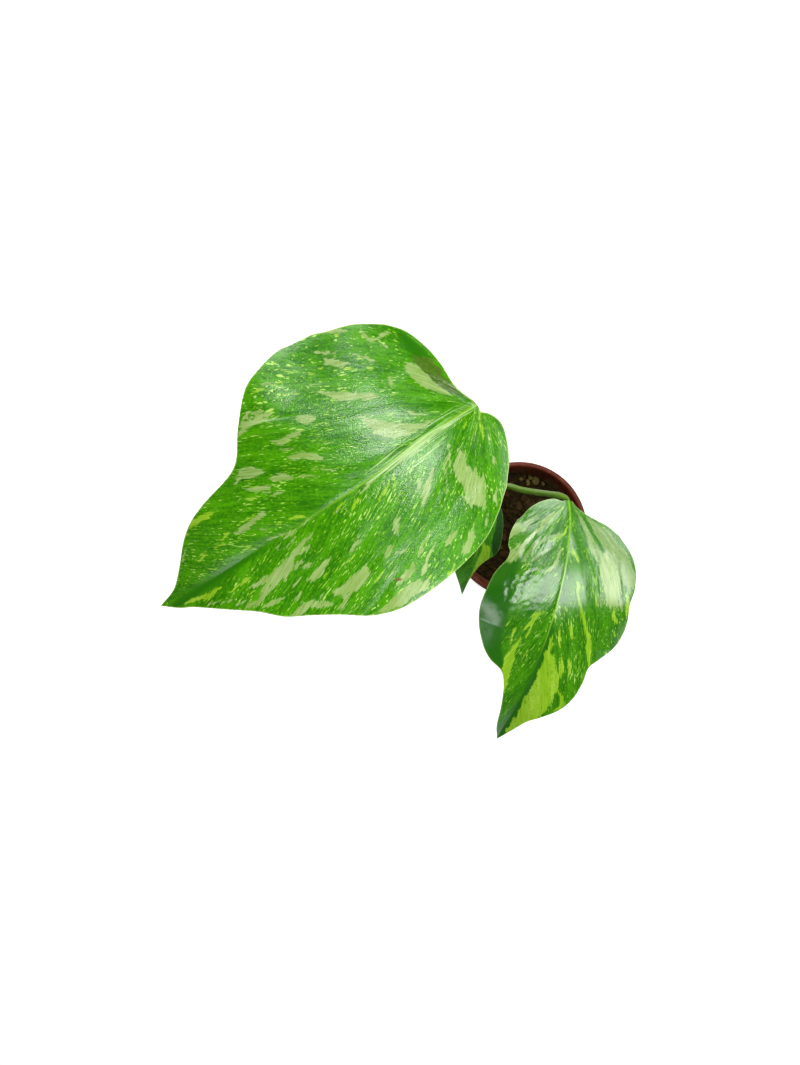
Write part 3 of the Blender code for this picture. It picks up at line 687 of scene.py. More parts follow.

# %% [markdown]
# The medium leaf has few cream patches, but a large sage one at its base, a
# yellow-green sector towards its tip and a plain one at its edge, whose dark
# green is painted shade. The small leaf is half yellow-green, and its other half
# is a dark green that is painted shade.

# %% Patches of the medium and the small leaf
MEDIUM_PATCHES = {"cream": [
    [(21.5, -16.5, 0.8), (25.5, -16.5, 2.3), (28.5, -19, 3.9),
     (32, -21, 3.9), (35.5, -22, 3.3), (38.5, -24, 1.7)],
    [(38.5, -27, 0.8), (42.5, -28.5, 0.5)],
    [(37.5, -17, 0.4), (40.5, -18, 0.6)],
    [(30.5, 23, 0.4), (27.5, 21.5, 1.7), (25, 20.5, 1.9), (23.5, 19, 1.2)],
    [(10, 11, 0.7), (13, 12, 0.6), (15.5, 14, 0.8), (19, 16.5, 0.8), (22, 18, 0.7)],
    [(5, 5, 0.4), (7.5, 8, 0.5), (10, 10.5, 0.6)],
    [(17, 23, 1.3), (14.5, 21.5, 1.8), (14.5, 20, 1.4), (15, 18.5, 0.4)],
    [(23.5, 3.5, 0.4), (27.5, 4.5, 0.8), (30.5, 6.5, 0.6), (32, 7.5, 0.3)],
], "yellow": [
    [(63.5, 10.5, 0.3), (69, 11.5, 1.3), (74, 12, 2), (79, 11.5, 2), (84, 10.5, 1.2), (90, 9, 0.4)],
    [(60.5, 14, 0.6), (64.5, 14, 0.4)],
    [(58.5, -2, 0.3), (64, -2.5, 0.8), (68.5, -3, 1.3), (72.5, -5, 2.8), (78, -6, 3.9),
     (84, -7, 5), (91, -6.5, 5.3), (96.5, -5.5, 4), (104.5, -4, 2.2), (113.5, -2, 0.9)],
    [(56, -4, 0.3), (59, -5.5, 0.8), (62, -6.5, 0.4)],
    [(68, -9, 0.4), (72, -10.5, 1), (75.5, -11.5, 0.4)],
    [(52.5, -8, 0.4), (57, -10, 0.6)],
    [(67.5, -12, 0.4), (70.5, -13.5, 0.8), (75, -15, 0.3)],
    [(35.5, -6.5, 0.6), (39, -7.5, 0.4), (43, -9.5, 0.6), (47.5, -12, 0.7), (52, -14.5, 0.7)],
    [(36.5, -13.5, 0.3), (41.5, -16.5, 0.4)],
    [(41.5, -24.5, 0.6), (45.5, -25.5, 0.6), (48, -27.5, 0.8)],
    [(49, -27, 0.3), (54, -29, 0.3)],
    [(37, -30, 0.8), (40.5, -31.5, 1.1), (44, -32, 0.6)],
    [(52, -14.5, 0.4), (56, -17, 1.1), (60, -18.5, 1.3), (64, -20, 0.9), (67.5, -21.5, 0.5)],
    [(81, -10.5, 0.3), (83, -13.5, 0.5), (86, -16, 0.9), (89, -16.5, 0.8), (91.5, -15, 0.4)],
    [(3.5, 3, 0.3), (7, 6.5, 0.3), (10.5, 8.5, 0.4)],
    [(11.5, 1.5, 0.3), (14.5, 2, 0.3), (16.5, 3.5, 0.4)],
    [(16, 4.5, 0.4), (18, 6.5, 0.7)],
    [(19, -1, 0.3), (22, -2.5, 0.7), (25, -4.5, 0.3)],
    [(49, 5, 0.3), (51, 7.5, 1), (54.5, 8.5, 0.9), (58, 10, 0.3)],
    [(54, 8, 0.6), (58, 8, 0.5), (61, 8.5, 0.3)],
], "plain_and_shade": [
    # Plain chains: no speckles, and a deeper green that is painted shade, on a half that turns from the light
    # and along the folded midrib near the tip.
    [(33, 22, 2.9), (42, 24.5, 5), (54, 24.5, 5.1), (68, 22, 3.8), (76, 17, 2.6)],
    [(57, -1, 0.4), (65.5, -1.5, 1.3), (79, -2, 2), (91.5, -2, 2.2), (104, -1, 2.5), (118, 0.5, 2.3)],
], "band": [], "mark": [], "olive_and_shade": [
    [(4.8, -3.2, 0.4), (9.2, -5.6, 1.0), (15, -8.6, 1.6), (20, -11.2, 1.9), (24, -14.5, 1.6)],
    [(8, -9.3, 1.0), (12.2, -14.2, 2.6), (16.7, -19.4, 4.2), (21.5, -23.7, 4.4), (26.6, -27.4, 3.9),
     (30.5, -29.2, 2.0)],
    [(6.3, 13.5, 0.7), (10, 16.3, 1.5), (13.2, 18.8, 1.0)],
    [(4.5, 5.2, 0.3), (6.3, 8.8, 0.7), (8, 11, 0.4)],
    [(15.1, 4.3, 0.3), (17.6, 9.1, 0.9), (20.4, 13.1, 1.0), (25.1, 16, 0.8), (29, 17.7, 0.4)],
    [(21.8, 7.6, 0.4), (24.6, 11.2, 0.9), (27.8, 14.1, 0.4)],
]}
SMALL_PATCHES = {"cream": [], "yellow": [
    [(18.5, -2.2, 0.8), (21.5, -3.7, 1.9), (27, -3.2, 1.7), (32.5, -2.4, 1.2), (38.5, -1.5, 0.5)],
], "plain_and_shade": [], "band": [], "mark": [], "olive_and_shade": [
    # Painted shade: a dark green over the lobe that lies in the large leaf's shadow.
    [(2, -6, 1.5), (8, -8, 3.2), (14, -8.5, 3.6), (19, -9, 2.2)],
]}
print("Medium leaf:", {tone: len(chains) for tone, chains in MEDIUM_PATCHES.items()})
print("Small leaf:", {tone: len(chains) for tone, chains in SMALL_PATCHES.items()})

# %% [markdown]
# A patch is stored as one number for each point of the mesh: how far inside its
# edge the point lies, negative outside. The finish then adds noise to that number
# before it draws the edge, which gives the frayed ends that follow the veins.

# %% From patches to numbers
FAR_OUTSIDE = -20.0
END_STRETCH = 0.45                      # below 1, a patch tapers off beyond its ends
LEAST_STEP = 1e-3                       # millimetres, so that no part of a chain has length 0


def depth_in(chains, along, across):
    """How deep each point lies inside the nearest of the chains, in mm, with drawn-out ends."""
    best = np.full(len(along), FAR_OUTSIDE)
    for chain in chains:
        for (a0, b0, w0), (a1, b1, w1) in zip(chain, chain[1:]):
            length = max(math.hypot(a1 - a0, b1 - b0), LEAST_STEP)
            run = ((a1 - a0) / length, (b1 - b0) / length)
            ahead = (along - a0) * run[0] + (across - b0) * run[1]
            inside = np.clip(ahead, 0, length)
            beside = (across - b0) * run[0] - (along - a0) * run[1]
            gap = np.hypot(beside, (ahead - inside) * END_STRETCH)
            best = np.maximum(best, w0 + (w1 - w0) * inside / length - gap)
    return best


def distance_to(curve, along, across):
    """Distance of each point from a curve of many points."""
    best = np.full(len(along), math.inf)
    for a, b in curve:
        best = np.minimum(best, np.hypot(along - a, across - b))
    return best


print("Depth at the middle of a patch 4 mm wide:",
      depth_in([[(0, 0, 2), (9, 0, 2)]], np.array([4.0]), np.array([0.0]))[0])

# %% [markdown]
# The blade of a monstera isn't smooth. The midrib lies in a shallow channel, and
# between the side veins the blade swells a little and unevenly, which is the
# pillow and the swell. Puckers are places where the swellings are stronger and
# small wrinkles cross them, pebbles are rougher places, and dips are broad
# hollows. Each is given by its half of the blade, its place, its radius and its
# height. press lowers a half beside the midrib, by an amount that is reached at a
# width, and the trough is a narrow valley across a lobe at the base.

# %% Relief of a blade
WRINKLE = 2.6                           # size of the small wrinkles of a puckered place, in mm
PEBBLE = 1.7                            # and of the still smaller, round bumps
CALM_BORDER = 5                         # the relief fades out this near to a margin or a vein's foot
CHANNEL_WIDTH = 0.9
MEANDER = 0.30                          # how far the veins wander, as a share of the gap between them
VALLEY_SHARPNESS = 1.6
PRESS_BORDER, PRESS_START = 16, 12      # from the margin and from the base, the mm in which press sets in


def lumps(across, along, seed):
    """Smooth noise between about -1 and 1, for arrays of places."""
    return 2 * np.array([noise.noise((x, y, seed)) for x, y in zip(across, along)])


def nearness(spots, side, along, out):
    """For each spot on this half: its height, and a share that is 1 at its centre and fades outwards."""
    for where, (a, b), radius, height in spots:
        if where == side:
            yield height, np.exp(-(((along - a) ** 2 + (out - b) ** 2) / radius**2))


def relief(form, side, length, along, out, reach, across, edge):
    """How far the surface lies below the smooth blade, in mm."""
    gap = form["vein_gap"]
    pucker = np.zeros(len(along))
    for height, near in nearness(form["puckers"], side, along, out):
        pucker = np.maximum(pucker, height * near)
    turn = across / gap + MEANDER * lumps(reach / 24, across / 13, 1.5)
    valley = (0.5 + 0.5 * np.cos(2 * math.pi * turn)) ** VALLEY_SHARPNESS
    uneven = 0.6 + 0.8 * lumps(across / gap, reach / 9, 4.5)
    depth = (form["pillow"] + pucker) * valley * uneven
    depth += form["swell"] * lumps(across / 11, reach / 26, 7.5)
    wrinkles = lumps(across / WRINKLE, reach / (1.5 * WRINKLE), 9.5)
    depth += (0.05 * form["pillow"] + 0.4 * pucker) * wrinkles
    for height, near in nearness(form["pebbles"], side, along, out):
        depth += height * near * lumps(out / PEBBLE, along / PEBBLE, 12.5)
    depth *= np.clip(reach / CALM_BORDER, 0, 1) * np.clip(edge / CALM_BORDER, 0, 1)
    share = np.clip(along / length, 0, 1)
    channel = form["channel"] * np.exp(-((out / CHANNEL_WIDTH) ** 2)) * (1 - share) ** 0.5
    for height, near in nearness(form["dips"], side, along, out):
        depth += height * near
    width, amount = form["press"][side]
    pressed = amount * (0.5 - 0.5 * np.cos(math.pi * np.clip(out / width, 0, 1)))
    return depth + channel + pressed * np.clip(edge / PRESS_BORDER, 0, 1) * np.clip(along / PRESS_START, 0, 1)


def trough(shape, along, out):
    """A valley that runs across a lobe, in mm below the smooth surface."""
    centre = shape["start"] + shape["slope"] * out
    width = shape["width"] + shape["spread"] * out
    ends = np.clip(out / 3, 0, 1) * np.clip((shape["reach"] - out) / 8, 0, 1)
    return shape["depth"] * np.exp(-(((along - centre) / width) ** 2)) * ends


print(f"Relief: wrinkles of {WRINKLE} mm, pebbles of {PEBBLE} mm")

# %% [markdown]
# The finish needs to know where it is on the blade, so each blade carries two UV
# maps in metres. In one the first direction runs along the veins, and in the other
# along the midrib. The two halves are told apart by the side that a face lies on,
# so the map may jump at the midrib. Thickness comes last, from the Solidify
# modifier and a vertex group: a thick rib under the midrib, and a thin margin.

# %% Coordinates and thickness of a blade
BLADE = 0.5                             # millimetres, the blade between its veins
MARGIN_THICKNESS = 0.3
MARGIN_WIDTH = 1.2
RIB_WIDTH = 1.2                         # how far the rib below the midrib spreads
RIB_END = 0.8                           # the rib has sunk into the blade at this share


def paint_sides(obj, name, flat, place, left_shift):
    """A UV map in metres, with its own values for each half of the blade; left_shift is in mm."""
    uv = obj.data.uv_layers.new(name=name)
    corners = np.array([loop.vertex_index for loop in obj.data.loops])
    middle = flat[corners, 0].reshape(-1, 4).mean(axis=1)
    on_right = np.repeat(middle > 0, 4)
    place = np.where(on_right[:, None], place["right"][corners], place["left"][corners] + left_shift)
    uv.data.foreach_set("uv", (place * MM).astype(np.float32).ravel())


def thicken(obj, leaf, numbers):
    """Solidify downwards, thick under the midrib and thin at the margin."""
    taper = np.clip(1 - numbers["share"] / RIB_END, 0, 1) * np.clip(numbers["share"] * 40 + 0.4, 0, 1)
    thick = BLADE + (leaf["rib"] - BLADE) * taper * np.exp(-((numbers["rib"] / RIB_WIDTH) ** 2))
    thick -= (BLADE - MARGIN_THICKNESS) * np.clip(1 - numbers["edge"] / MARGIN_WIDTH, 0, 1)
    least = MARGIN_THICKNESS / leaf["rib"]
    group = obj.vertex_groups.new(name="thickness")
    for index, weight in enumerate((thick / leaf["rib"] - least) / (1 - least)):
        group.add([index], float(np.clip(weight, 0, 1)), "REPLACE")
    edit_mode(obj)
    merge_points(0.02)
    edit_mode(obj, on=False)
    for _ in ("upper side", "lower side"):
        obj.data.materials.append(None)
    solid = obj.modifiers.new("Thickness", "SOLIDIFY")
    solid.thickness = leaf["rib"] * MM
    solid.offset = -1
    solid.vertex_group = "thickness"
    solid.thickness_vertex_group = least
    solid.material_offset = 1
    solid.material_offset_rim = 1
    apply_modifiers(obj)


print(f"Blades are {BLADE} mm thick, and {MARGIN_THICKNESS} mm at the margin")

# %% [markdown]
# A leaf starts as a flat grid. Its columns run beside the midrib and its rows
# from the midrib out to the margin, and every point is moved to its place on the
# blade's surface, with the relief pressed into it. Both halves are worked out, and
# each point takes the numbers of its own half.

# %% Leaf pieces
INSET = 0.9994                          # keeps the finer margin inside the frame's coarser one
LEFT_HALF_SHIFT = (0, 300)              # mm: the veins of the left half have streaks of their own


def add_leaf(name, leaf, patches, form, rows, columns):
    """The grid, its place on the blade, its numbers for the finish, and its thickness."""
    bpy.ops.object.select_all(action="DESELECT")
    bpy.ops.mesh.primitive_grid_add(x_subdivisions=2 * columns, y_subdivisions=rows, size=2)
    obj = bpy.context.object
    obj.name = name
    surface = LeafSurface(leaf)
    flat = places(obj)
    share = (flat[:, 1] + 1) / 2
    spread = np.abs(flat[:, 0])
    numbers = {key: np.zeros(len(flat))
               for key in ("patch", "tone", "plain_and_shade", "band", "mark", "edge", "rib", "share")}
    points = np.zeros((len(flat), 3))
    vein, midrib = {}, {}
    for side in SIDES:
        sign = 1 if side == "right" else -1
        half = (flat[:, 0] * sign > -1e-6)
        along, out = surface.place(share, spread, side).T
        edge = distance_to(np.vstack(list(surface.margins[side].values())), along, out)
        reach, across = vein_place(leaf, side, surface.length, along, out)
        vein[side] = np.stack([reach, across], axis=-1)
        midrib[side] = np.stack([along, out * sign], axis=-1)
        start, _, right, up = surface.frame(along)
        rise = surface.lift(along, out, side)
        rise -= relief(form, side, surface.length, along, out, reach, across, edge)
        if "trough" in form and side == form["trough"]["side"]:
            rise -= trough(form["trough"], along, out)
        placed = start + right * (out * sign)[:, None] + up * rise[:, None]
        depths = {kind: depth_in(chains, along, out * sign) for kind, chains in patches.items()}
        deepest = np.maximum(np.maximum(depths["cream"], depths["yellow"]), depths["olive_and_shade"])
        tone = np.where(depths["yellow"] == deepest, 1, np.where(depths["olive_and_shade"] == deepest, 0.5, 0))
        new = {**depths, "patch": deepest, "tone": tone * (deepest > FAR_OUTSIDE), "edge": edge,
               "rib": out, "share": along / surface.length}
        points[half] = placed[half]
        for key, values in numbers.items():
            values[half] = new[key][half]
    paint_sides(obj, "veins", flat, vein, LEFT_HALF_SHIFT)
    paint_sides(obj, "midrib", flat, midrib, (0, 0))
    move_to(obj, points * INSET * MM)
    for key, values in numbers.items():
        give_numbers(obj, key, values)
    thicken(obj, leaf, numbers)
    return obj


SMOOTH = {"puckers": [], "pebbles": [], "dips": [], "press": {"right": (20, 0), "left": (20, 0)}}
LARGE_FORM = {**SMOOTH, "vein_gap": 9.5, "pillow": 0.12, "swell": 0.22, "channel": 0.25,
              "dips": [("right", (25, 62), 26, 1.4)],
              "press": {"right": (26, 1.1), "left": (24, 1.5)},
              "trough": {"side": "right", "start": 0.7, "slope": 0.65, "width": 1.2, "spread": 0.12,
                         "reach": 20, "depth": 2.0}}
MEDIUM_FORM = {**SMOOTH, "vein_gap": 7.0, "pillow": 0.04, "swell": 0.10, "channel": 0.18,
               "puckers": [("right", (6, 12), 13, 0.36), ("right", (19, 13), 9, 0.34),
                           ("left", (20, 20), 15, 0.20)],
               "pebbles": [("right", (42, 17), 9, 0.10), ("right", (30, 12), 9, 0.03),
                           ("right", (56, 8), 6, 0.05), ("right", (50, 28), 9, 0.02)],
               "dips": [("left", (17, 35), 19, 1.8)]}
SMALL_FORM = {**SMOOTH, "vein_gap": 5.0, "pillow": 0.15, "swell": 0.10, "channel": 0.25}
leaf_large = add_leaf("leaf_large_fine", LARGE_LEAF, LARGE_PATCHES, LARGE_FORM, 232, 100)
leaf_medium = add_leaf("leaf_medium_fine", MEDIUM_LEAF, MEDIUM_PATCHES, MEDIUM_FORM, 220, 76)
leaf_small = add_leaf("leaf_small_fine", SMALL_LEAF, SMALL_PATCHES, SMALL_FORM, 110, 36)
print("Leaf pieces:", leaf_large.name, leaf_medium.name, leaf_small.name)

# %% [markdown]
# The markings share one kind of noise: streaks that run along the veins or along
# the midrib, because the noise is laid on one of the blade's two UV maps and
# stretched. A node group holds it, and each finish places it with its own length
# and width of streak, in metres.

# %% Streak groups


def streak_group(name, uv_map):
    """A group that gives streaks of noise along the first direction of a UV map."""
    tree, given, made = new_group(
        name, {"Length": 0.003, "Width": 0.001, "Seed": 0.0, "Detail": 2.0}, ("Value",))
    place = add_node(tree, "ShaderNodeUVMap", uv_map=uv_map).outputs["UV"]
    streak = add_node(tree, "ShaderNodeCombineXYZ", {"X": given["Length"], "Y": given["Width"], "Z": 1.0})
    scaled = add_node(tree, "ShaderNodeVectorMath", {0: place, 1: streak.outputs[0]}, operation="DIVIDE")
    shift = add_node(tree, "ShaderNodeCombineXYZ", {axis: given["Seed"] for axis in "XYZ"})
    moved = add_node(tree, "ShaderNodeVectorMath", {0: scaled.outputs[0], 1: shift.outputs[0]})
    value = noise_on(tree, moved.outputs[0], 1.0, given["Detail"], Roughness=0.6)
    tree.links.new(value, made.inputs["Value"])
    return tree


vein_noise = streak_group("vein_noise", "veins")
midrib_noise = streak_group("midrib_noise", "midrib")
print("Groups:", vein_noise.name, midrib_noise.name)

# %% [markdown]
# Patches, speckles, the pale margin and the midrib are masks that the upper and
# the lower side both use, so they are a group too. Long streaks fray a patch
# where a vein leaves it, short ones nibble at its sides, and a few green islands
# stay inside. Raggedness is how far the streaks move its edge, in millimetres.
# Speckles come in three sizes, crowd together in places and thin out in the plain
# areas.

# %% Leaf markings group
markings, given, made = new_group(
    "leaf_markings", {"Raggedness": 0.5, "Speckles": 0.0, "Rib Width": 0.9},
    ("Patch", "Tone", "Speckle", "Fibre", "Band", "Margin", "Rib", "Plain And Shade"))
tree = markings


def streaks(group, length, width, seed, detail=2.0):
    """A streak group's value inside the markings, with sizes in millimetres."""
    return use_group(tree, group, Length=length * MM, Width=width * MM, Seed=seed, Detail=detail)["Value"]


def centred(value, gain):
    """Noise around 0.5 turned into noise around 0."""
    return times(tree, sum_of(tree, "SUBTRACT", value, 0.5), gain)


frayed = sum_of(tree, "ADD", centred(streaks(vein_noise, 5.0, 0.9, 3.0, 3.0), 4.2),
                centred(streaks(vein_noise, 1.6, 0.5, 13.0), 2.2))
depth = times_plus(tree, frayed, given["Raggedness"], attribute(tree, "patch"))
islands = ramp(tree, streaks(vein_noise, 3.4, 0.9, 51.0), 0.64, 0.72)
patch = times(tree, ramp(tree, depth, -0.15, 0.25), sum_of(tree, "SUBTRACT", 1.0, islands))
# Plain areas have fewer speckles, which is the leaf's own, and the finish deepens their green, which is
# painted shade.
plain_and_shade = ramp(tree, attribute(tree, "plain_and_shade"), -1.6, 1.2)
crowd = centred(noise_on(tree, object_place(tree), 110.0, 2.0), 0.24)
crowd = sum_of(tree, "ADD", crowd, given["Speckles"])
crowd = sum_of(tree, "SUBTRACT", crowd, times(tree, plain_and_shade, 0.3))
speckle = 0.0
SPECKLES = ((2.0, 0.6, 11.0, 0.64), (3.4, 0.85, 23.0, 0.665), (6.0, 1.3, 29.0, 0.695))
for length, width, seed, least in SPECKLES:
    size = sum_of(tree, "ADD", streaks(vein_noise, length, width, seed, 1.0), crowd)
    speckle = sum_of(tree, "MAXIMUM", ramp(tree, size, least, least + 0.07), speckle)
fibre = streaks(vein_noise, 9.0, 0.9, 31.0, 1.5)
strands = centred(streaks(midrib_noise, 16.0, 0.5, 37.0, 3.0), 9.0)
band = ramp(tree, sum_of(tree, "ADD", strands, attribute(tree, "band")), 0.2, 1.7)
margin = ramp(tree, attribute(tree, "edge"), 0.55, 0.2)
narrowing = sum_of(tree, "SUBTRACT", 1.15, attribute(tree, "share"))
width = times(tree, given["Rib Width"], narrowing)
rib = sum_of(tree, "SUBTRACT", 1.0, sum_of(tree, "DIVIDE", attribute(tree, "rib"), width), clamp=True)
for name, value in (("Patch", patch), ("Tone", attribute(tree, "tone")), ("Speckle", speckle),
                    ("Fibre", fibre), ("Band", band), ("Margin", margin), ("Rib", rib), ("Plain And Shade", plain_and_shade)):
    tree.links.new(value, made.inputs[name])
print("Group:", markings.name, "with", len(markings.nodes), "nodes")

# %% [markdown]
# The upper side is a waxy green. Its skin is finely crinkled, which breaks the
# reflection of the soft box into a pale shimmer rather than a mirror image, so a
# bump with cells under a millimetre goes on top of the relief in the mesh. The
# medium blade is younger and glossier, and the small one is in its shade.

# %% Upper side finish


def leaf_upper(name, deep, fresh, gloss, crinkle, speckles, shine=0.5, ragged=0.7, rib_width=0.9, rib=0.5,
               margin=0.8, third=((48, 80, 10), (74, 104, 28)), crown=0.0):
    """The finish of a blade's upper side.

    deep and fresh are its greens, gloss is its least roughness, crinkle the height of its bump in metres,
    and speckles makes them more or fewer. shine is the strength of the mirror image, ragged frays the
    patches, rib and margin are the strength of the pale midrib and edge, third holds the two colours of
    the olive patches, which are painted shade on the large and the small blade, and crown adds
    roughness near the base.
    """
    finish, tree, shader = new_material(name, Specular_IOR_Level=shine)
    marks = use_group(tree, markings, Raggedness=ragged, Speckles=speckles, Rib_Width=rib_width)
    broad = use_group(tree, vein_noise, Length=0.022, Width=0.005, Seed=5.0)["Value"]
    narrow = use_group(tree, vein_noise, Length=0.006, Width=0.0007, Seed=7.0, Detail=3.0)["Value"]
    skin = object_place(tree)
    mottle = noise_on(tree, skin, 900.0, 3.0)
    shade = times_plus(tree, narrow, 0.4, times(tree, broad, 0.35))
    shade = ramp(tree, times_plus(tree, mottle, 0.25, shade), 0.38, 0.62)
    # Painted shade: in the plain areas the green goes all the way to the deep one.
    shade = times(tree, shade, sum_of(tree, "SUBTRACT", 1.0, marks["Plain And Shade"]))
    green = mix(tree, shade, deep, fresh)
    fleck = mix(tree, ramp(tree, broad, 0.4, 0.6), (114, 162, 30), (150, 186, 86))
    flecked = mix(tree, marks["Speckle"], green, fleck)
    fibre = ramp(tree, marks["Fibre"], 0.28, 0.72)
    cloudy = ramp(tree, mottle, 0.3, 0.7)
    cream = mix(tree, fibre, (98, 133, 52), (136, 160, 95))
    cream = mix(tree, times(tree, cloudy, 0.5), cream, (128, 152, 88))
    cream = mix(tree, times(tree, ramp(tree, broad, 0.5, 0.62), 0.5), cream, (108, 136, 54))
    yellow = mix(tree, fibre, (96, 144, 8), (130, 168, 36))
    pale = mix(tree, ramp(tree, broad, 0.4, 0.65), (112, 156, 18), (148, 180, 66))
    yellow = mix(tree, times(tree, cloudy, 0.7), yellow, pale)
    # The third tone: a real sage on the medium blade, and painted shade on the large and the small one.
    olive_and_shade = mix(tree, times_plus(tree, cloudy, 0.5, times(tree, fibre, 0.5)), third[0], third[1])
    tone = times(tree, marks["Tone"], 2.0)
    patched = mix(tree, sum_of(tree, "MINIMUM", tone, 1.0), cream, olive_and_shade)
    patched = mix(tree, sum_of(tree, "SUBTRACT", tone, 1.0, clamp=True), patched, yellow)
    patched = mix(tree, marks["Patch"], flecked, patched)
    banded = mix(tree, times(tree, marks["Band"], 0.85), patched, (150, 178, 114))
    fading = times(tree, ramp(tree, attribute(tree, "share"), 0.66, 0.36), rib)
    ribbed = mix(tree, times(tree, marks["Rib"], fading), banded, (124, 168, 44))
    edged = mix(tree, times(tree, marks["Margin"], margin), ribbed, (158, 178, 104))
    marked = mix(tree, ramp(tree, attribute(tree, "mark"), -0.4, 0.2), edged, (84, 58, 18))

    cells = noise_on(tree, skin, 1300.0, 2.0, Roughness=0.6)
    ripple = use_group(tree, vein_noise, Length=0.0022, Width=0.0007, Seed=41.0)["Value"]
    height = times_plus(tree, noise_on(tree, skin, 3200.0, 1.0), 0.5, times_plus(tree, ripple, 0.5, cells))
    duller = times(tree, ramp(tree, attribute(tree, "share"), 0.27, 0.20), crown)
    dull = times_plus(tree, noise_on(tree, skin, 260.0, 2.0), 0.12, duller)
    dress(tree, shader, marked, sum_of(tree, "ADD", dull, gloss), height, 1.0, crinkle)
    return finish


# The large blade keeps the default third colours, a dark olive that is painted shade.
large_upper = leaf_upper("large_leaf_upper", (32, 94, 0), (66, 134, 0), 0.11, 0.00008, 0.0, shine=0.45)
medium_upper = leaf_upper("medium_leaf_upper", (26, 86, 0), (60, 123, 0), 0.12, 0.000025, 0.0, shine=0.72,
                          rib_width=0.55, rib=0.9, margin=0.35, third=((94, 126, 60), (120, 148, 90)),
                          crown=0.09)
# The small blade's third colours are a dark green that is painted shade.
small_upper = leaf_upper("small_leaf_upper", (34, 94, 2), (66, 136, 12), 0.45, 0.00006, -0.12, shine=0.12,
                         ragged=0.3, margin=0.1, third=((14, 50, 4), (24, 66, 8)))
print("Upper side finishes:", large_upper.name, medium_upper.name, small_upper.name)

# %% [markdown]
# The lower side is paler and duller, and the patches show through it faintly.
# The thick end of the midrib is nearly the colour of the petiole.

# %% Lower side finish
leaf_lower, tree, shader = new_material("leaf_lower", Specular_IOR_Level=0.4)
marks = use_group(tree, markings, Raggedness=0.5, Speckles=0.0, Rib_Width=1.6)
shade = ramp(tree, use_group(tree, vein_noise, Length=0.012, Width=0.0022, Seed=5.0)["Value"], 0.35, 0.65)
green = mix(tree, shade, (92, 134, 50), (114, 154, 68))
flecked = mix(tree, times(tree, marks["Speckle"], 0.5), green, (160, 190, 110))
patched = mix(tree, times(tree, marks["Patch"], 0.8), flecked, (192, 206, 148))
ribbed = mix(tree, marks["Rib"], patched, (140, 172, 86))
cells = noise_on(tree, object_place(tree), 900.0, 2.0)
dress(tree, shader, ribbed, times_plus(tree, cells, 0.2, 0.45), cells, 0.7, 0.0001)

for piece, upper, node in ((leaf_large, large_upper, "leaf_large"),
                           (leaf_medium, medium_upper, "leaf_medium"),
                           (leaf_small, small_upper, "leaf_small")):
    piece.data.materials[0] = upper
    piece.data.materials[1] = leaf_lower
    finish_piece(piece, node)

# %% [markdown]
# A petiole is not a plain rod. Its upper side is flattened into a shallow
# channel, near its foot two thin wings stand beside that channel, where it once
# wrapped the next leaf, and it swells a little just below the blade, where it
# turns the leaf to the light. Its path is given as points in the air, and its
# joint as steps forward, right and up from the foot of the leaf's midrib.

# %% Petiole measurements
LARGE_PETIOLE = {
    "path": [(-13, 14.5, 61.3), (-13, 15.6, 70), (-13.8, 19.6, 86), (-17.8, 27, 108),
             (-24.5, 35.5, 131), (-31, 41, 148)],
    "joint": [(0.9, 0, -8), (1.6, 0, -5), (1.7, 0, -3.1)], "radii": (2.8, 2.1, 1.9, 1.6), "taper": 0.1}
MEDIUM_PETIOLE = {
    "path": [(-11.6, 17.4, 54), (-10.3, 20, 62), (-9.6, 21.1, 73), (-8.5, 20.6, 84.5),
             (-5.2, 18.6, 92.5), (-0.3, 16.9, 101), (4, 15.4, 111), (7, 14.2, 118)],
    "joint": [(-1.1, 0.2, -1.5), (-0.3, 0, -1.25)], "radii": (2.6, 1.5, 1.3, 0.95), "taper": 0.5}
SMALL_PETIOLE = {
    "path": [(-14.6, 14.2, 52), (-17.6, 13.8, 57), (-19.6, 14.2, 67), (-20.3, 14.2, 79)],
    "joint": [(-2, 0, -2.8), (-0.9, 0, -1.1), (-0.3, 0, -0.85)], "radii": (2.2, 1.4, 1.1, 0.9), "taper": 0.2}
PETIOLE_STATIONS = (0, 0.3, 0.985, 1)
JOINT_PLACE, JOINT_LENGTH, JOINT_SWELL = 0.93, 0.03, 0.05
WING_END = 0.42                         # share of the petiole's length where its wings end
WING_PLACE, WING_WIDTH = 0.72, 0.17     # in radians from the middle of the upper side
CHANNEL_SHARE, CHANNEL_SPREAD = 0.16, 0.55
FINE_RIBS, FINE_RIB_SHARE = 9, 0.012
CREASES, CREASE_SHARE = 900, 0.02       # small folds across the joint
ROWS_PER_POINT, END_ROWS = 1.375, 40    # rows of the mesh, from the points of the smooth path
print("Petioles measured from their foot to", LARGE_PETIOLE["path"][-1], "for the large leaf")

# %% [markdown]
# Each stalk is a flat grid rolled into a tube along its path: the grid's columns
# go round and its rows go along, and its own UV map then serves for streaks along
# the stalk. This is simpler to shape than a swept curve, because one function says
# how thick the stalk is at each place and on each side.

# %% Tubes from rolled grids


def frames_along(path, last_up):
    """Sideways and upward directions at each point, turned as little as possible on the way."""
    forward = unit(np.gradient(path, axis=0))
    up = np.array(last_up, float)
    ups = []
    for direction in forward[::-1]:
        up = up - direction * np.dot(up, direction)
        up = up / np.linalg.norm(up)
        ups.append(up)
    ups = np.array(ups[::-1])
    return np.cross(forward, ups), ups


